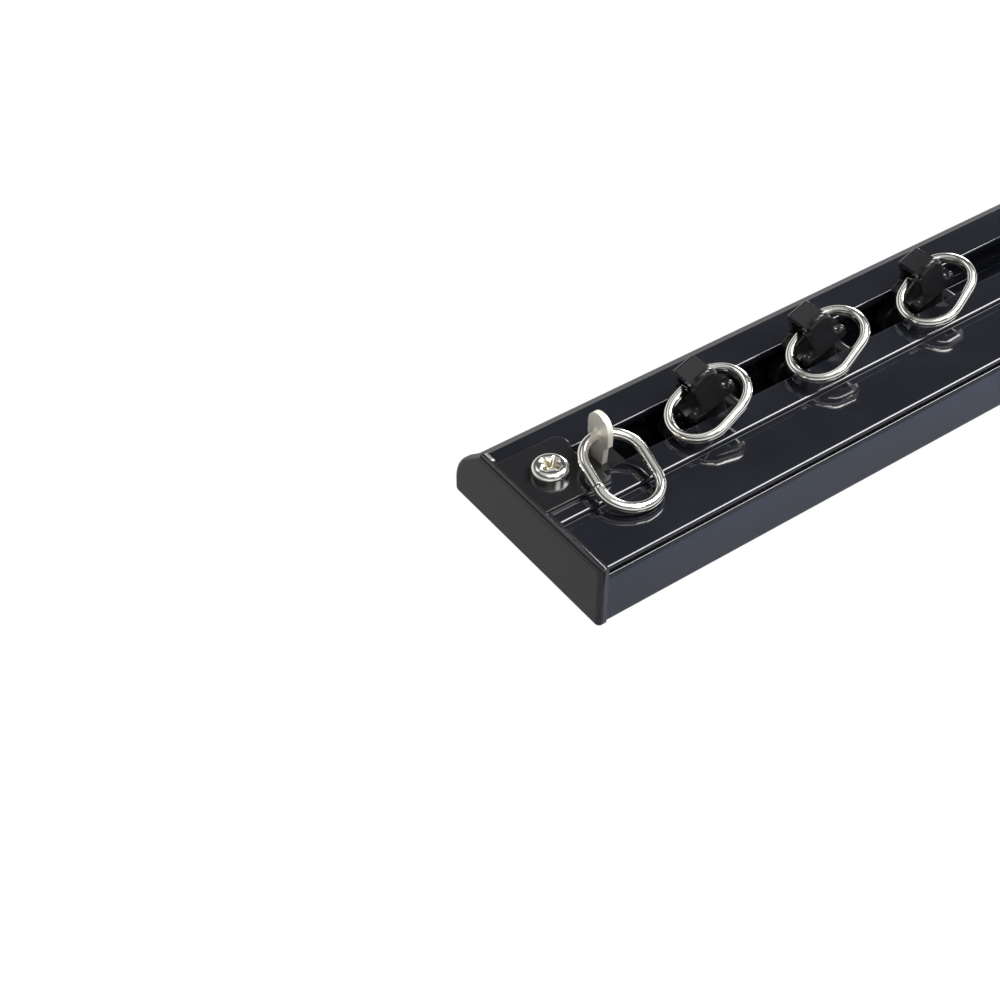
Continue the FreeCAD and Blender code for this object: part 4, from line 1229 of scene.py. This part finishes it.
def world_light(horizon, zenith):
    """Light that fades from the horizon to the zenith, and plain white where the camera sees it."""
    world = bpy.data.worlds.new("surroundings")
    world.use_nodes = True
    tree = world.node_tree
    tree.nodes.clear()
    direction = tree.nodes.new("ShaderNodeTexCoord")
    split = tree.nodes.new("ShaderNodeSeparateXYZ")
    fade = tree.nodes.new("ShaderNodeMapRange")
    fade.interpolation_type = "SMOOTHSTEP"
    for socket, value in (("From Min", 0.0), ("From Max", 0.5), ("To Min", horizon), ("To Max", zenith)):
        fade.inputs[socket].default_value = value
    around = tree.nodes.new("ShaderNodeBackground")
    white = tree.nodes.new("ShaderNodeBackground")
    path = tree.nodes.new("ShaderNodeLightPath")
    mix = tree.nodes.new("ShaderNodeMixShader")
    output = tree.nodes.new("ShaderNodeOutputWorld")
    white.inputs["Color"].default_value = WHITE
    around.inputs["Color"].default_value = WHITE
    tree.links.new(direction.outputs["Generated"], split.inputs[0])
    tree.links.new(split.outputs["Z"], fade.inputs["Value"])
    tree.links.new(fade.outputs["Result"], around.inputs["Strength"])
    tree.links.new(path.outputs["Is Camera Ray"], mix.inputs[0])
    tree.links.new(around.outputs[0], mix.inputs[1])
    tree.links.new(white.outputs[0], mix.inputs[2])
    tree.links.new(mix.outputs[0], output.inputs["Surface"])
    return world


def add_lamp(name, place, size, power):
    """Softbox that faces the track, its first size along X."""
    data = bpy.data.lights.new(name, "AREA")
    data.shape = "RECTANGLE"
    data.size, data.size_y = size
    data.energy = power
    lamp = bpy.data.objects.new(name, data)
    away = Vector(place).normalized()
    side = Vector((1, 0, 0)) - away * away.x
    side.normalize()
    turn = Matrix((side, away.cross(side), away)).transposed().to_4x4()
    lamp.matrix_world = Matrix.Translation(place) @ turn
    bpy.context.scene.collection.objects.link(lamp)


# Operators, panel and registration

class TRACK_OT_rail(bpy.types.Operator):
    """Finish the extruded rail"""

    bl_idname = "curtain_track.rail"
    bl_label = "Rail"

    def execute(self, context):
        build_rail()
        return {"FINISHED"}


class TRACK_OT_caps(bpy.types.Operator):
    """Finish the two end caps"""

    bl_idname = "curtain_track.caps"
    bl_label = "End caps"

    def execute(self, context):
        build_caps()
        return {"FINISHED"}


class TRACK_OT_fixings(bpy.types.Operator):
    """Finish the screws, clamp plates and eyelets"""

    bl_idname = "curtain_track.fixings"
    bl_label = "Screws, plates and eyelets"

    def execute(self, context):
        build_fixings()
        return {"FINISHED"}


class TRACK_OT_rings(bpy.types.Operator):
    """Bend the wire rings"""

    bl_idname = "curtain_track.rings"
    bl_label = "Rings"

    def execute(self, context):
        build_rings()
        return {"FINISHED"}


class TRACK_OT_carriers(bpy.types.Operator):
    """Mould the running carriers and their hooks"""

    bl_idname = "curtain_track.carriers"
    bl_label = "Carriers"

    def execute(self, context):
        build_carriers()
        return {"FINISHED"}


class TRACK_OT_wheels(bpy.types.Operator):
    """Turn the wheels and finish their axles"""

    bl_idname = "curtain_track.wheels"
    bl_label = "Wheels and axles"

    def execute(self, context):
        build_wheels()
        build_axles()
        return {"FINISHED"}


class TRACK_OT_stage(bpy.types.Operator):
    """Set up the floor, the light and the camera"""

    bl_idname = "curtain_track.stage"
    bl_label = "Stage"

    def execute(self, context):
        build_stage()
        return {"FINISHED"}


OPERATORS = (TRACK_OT_rail, TRACK_OT_caps, TRACK_OT_fixings, TRACK_OT_rings, TRACK_OT_carriers,
             TRACK_OT_wheels, TRACK_OT_stage)


class TRACK_PT_panel(bpy.types.Panel):
    """Lists the steps that finish the track"""

    bl_label = "Curtain track"
    bl_idname = "TRACK_PT_panel"
    bl_space_type = "VIEW_3D"
    bl_region_type = "UI"
    bl_category = "Curtain track"

    def draw(self, context):
        for operator in OPERATORS:
            self.layout.operator(operator.bl_idname)


CLASSES = (TrackSizes, TrackColours, StageSettings) + OPERATORS + (TRACK_PT_panel,)


def register():
    """Adds the settings, steps and panel to Blender."""
    for cls in CLASSES:
        bpy.utils.register_class(cls)
    bpy.types.Scene.track_sizes = bpy.props.PointerProperty(type=TrackSizes)
    bpy.types.Scene.track_colours = bpy.props.PointerProperty(type=TrackColours)
    bpy.types.Scene.stage_settings = bpy.props.PointerProperty(type=StageSettings)


def unregister():
    """Takes them out again."""
    del bpy.types.Scene.stage_settings
    del bpy.types.Scene.track_colours
    del bpy.types.Scene.track_sizes
    for cls in reversed(CLASSES):
        bpy.utils.unregister_class(cls)


def main():
    """Runs every step in order."""
    register()
    for operator in OPERATORS:
        group, name = operator.bl_idname.split(".")
        getattr(getattr(bpy.ops, group), name)()


if __name__ == "__main__":
    main()
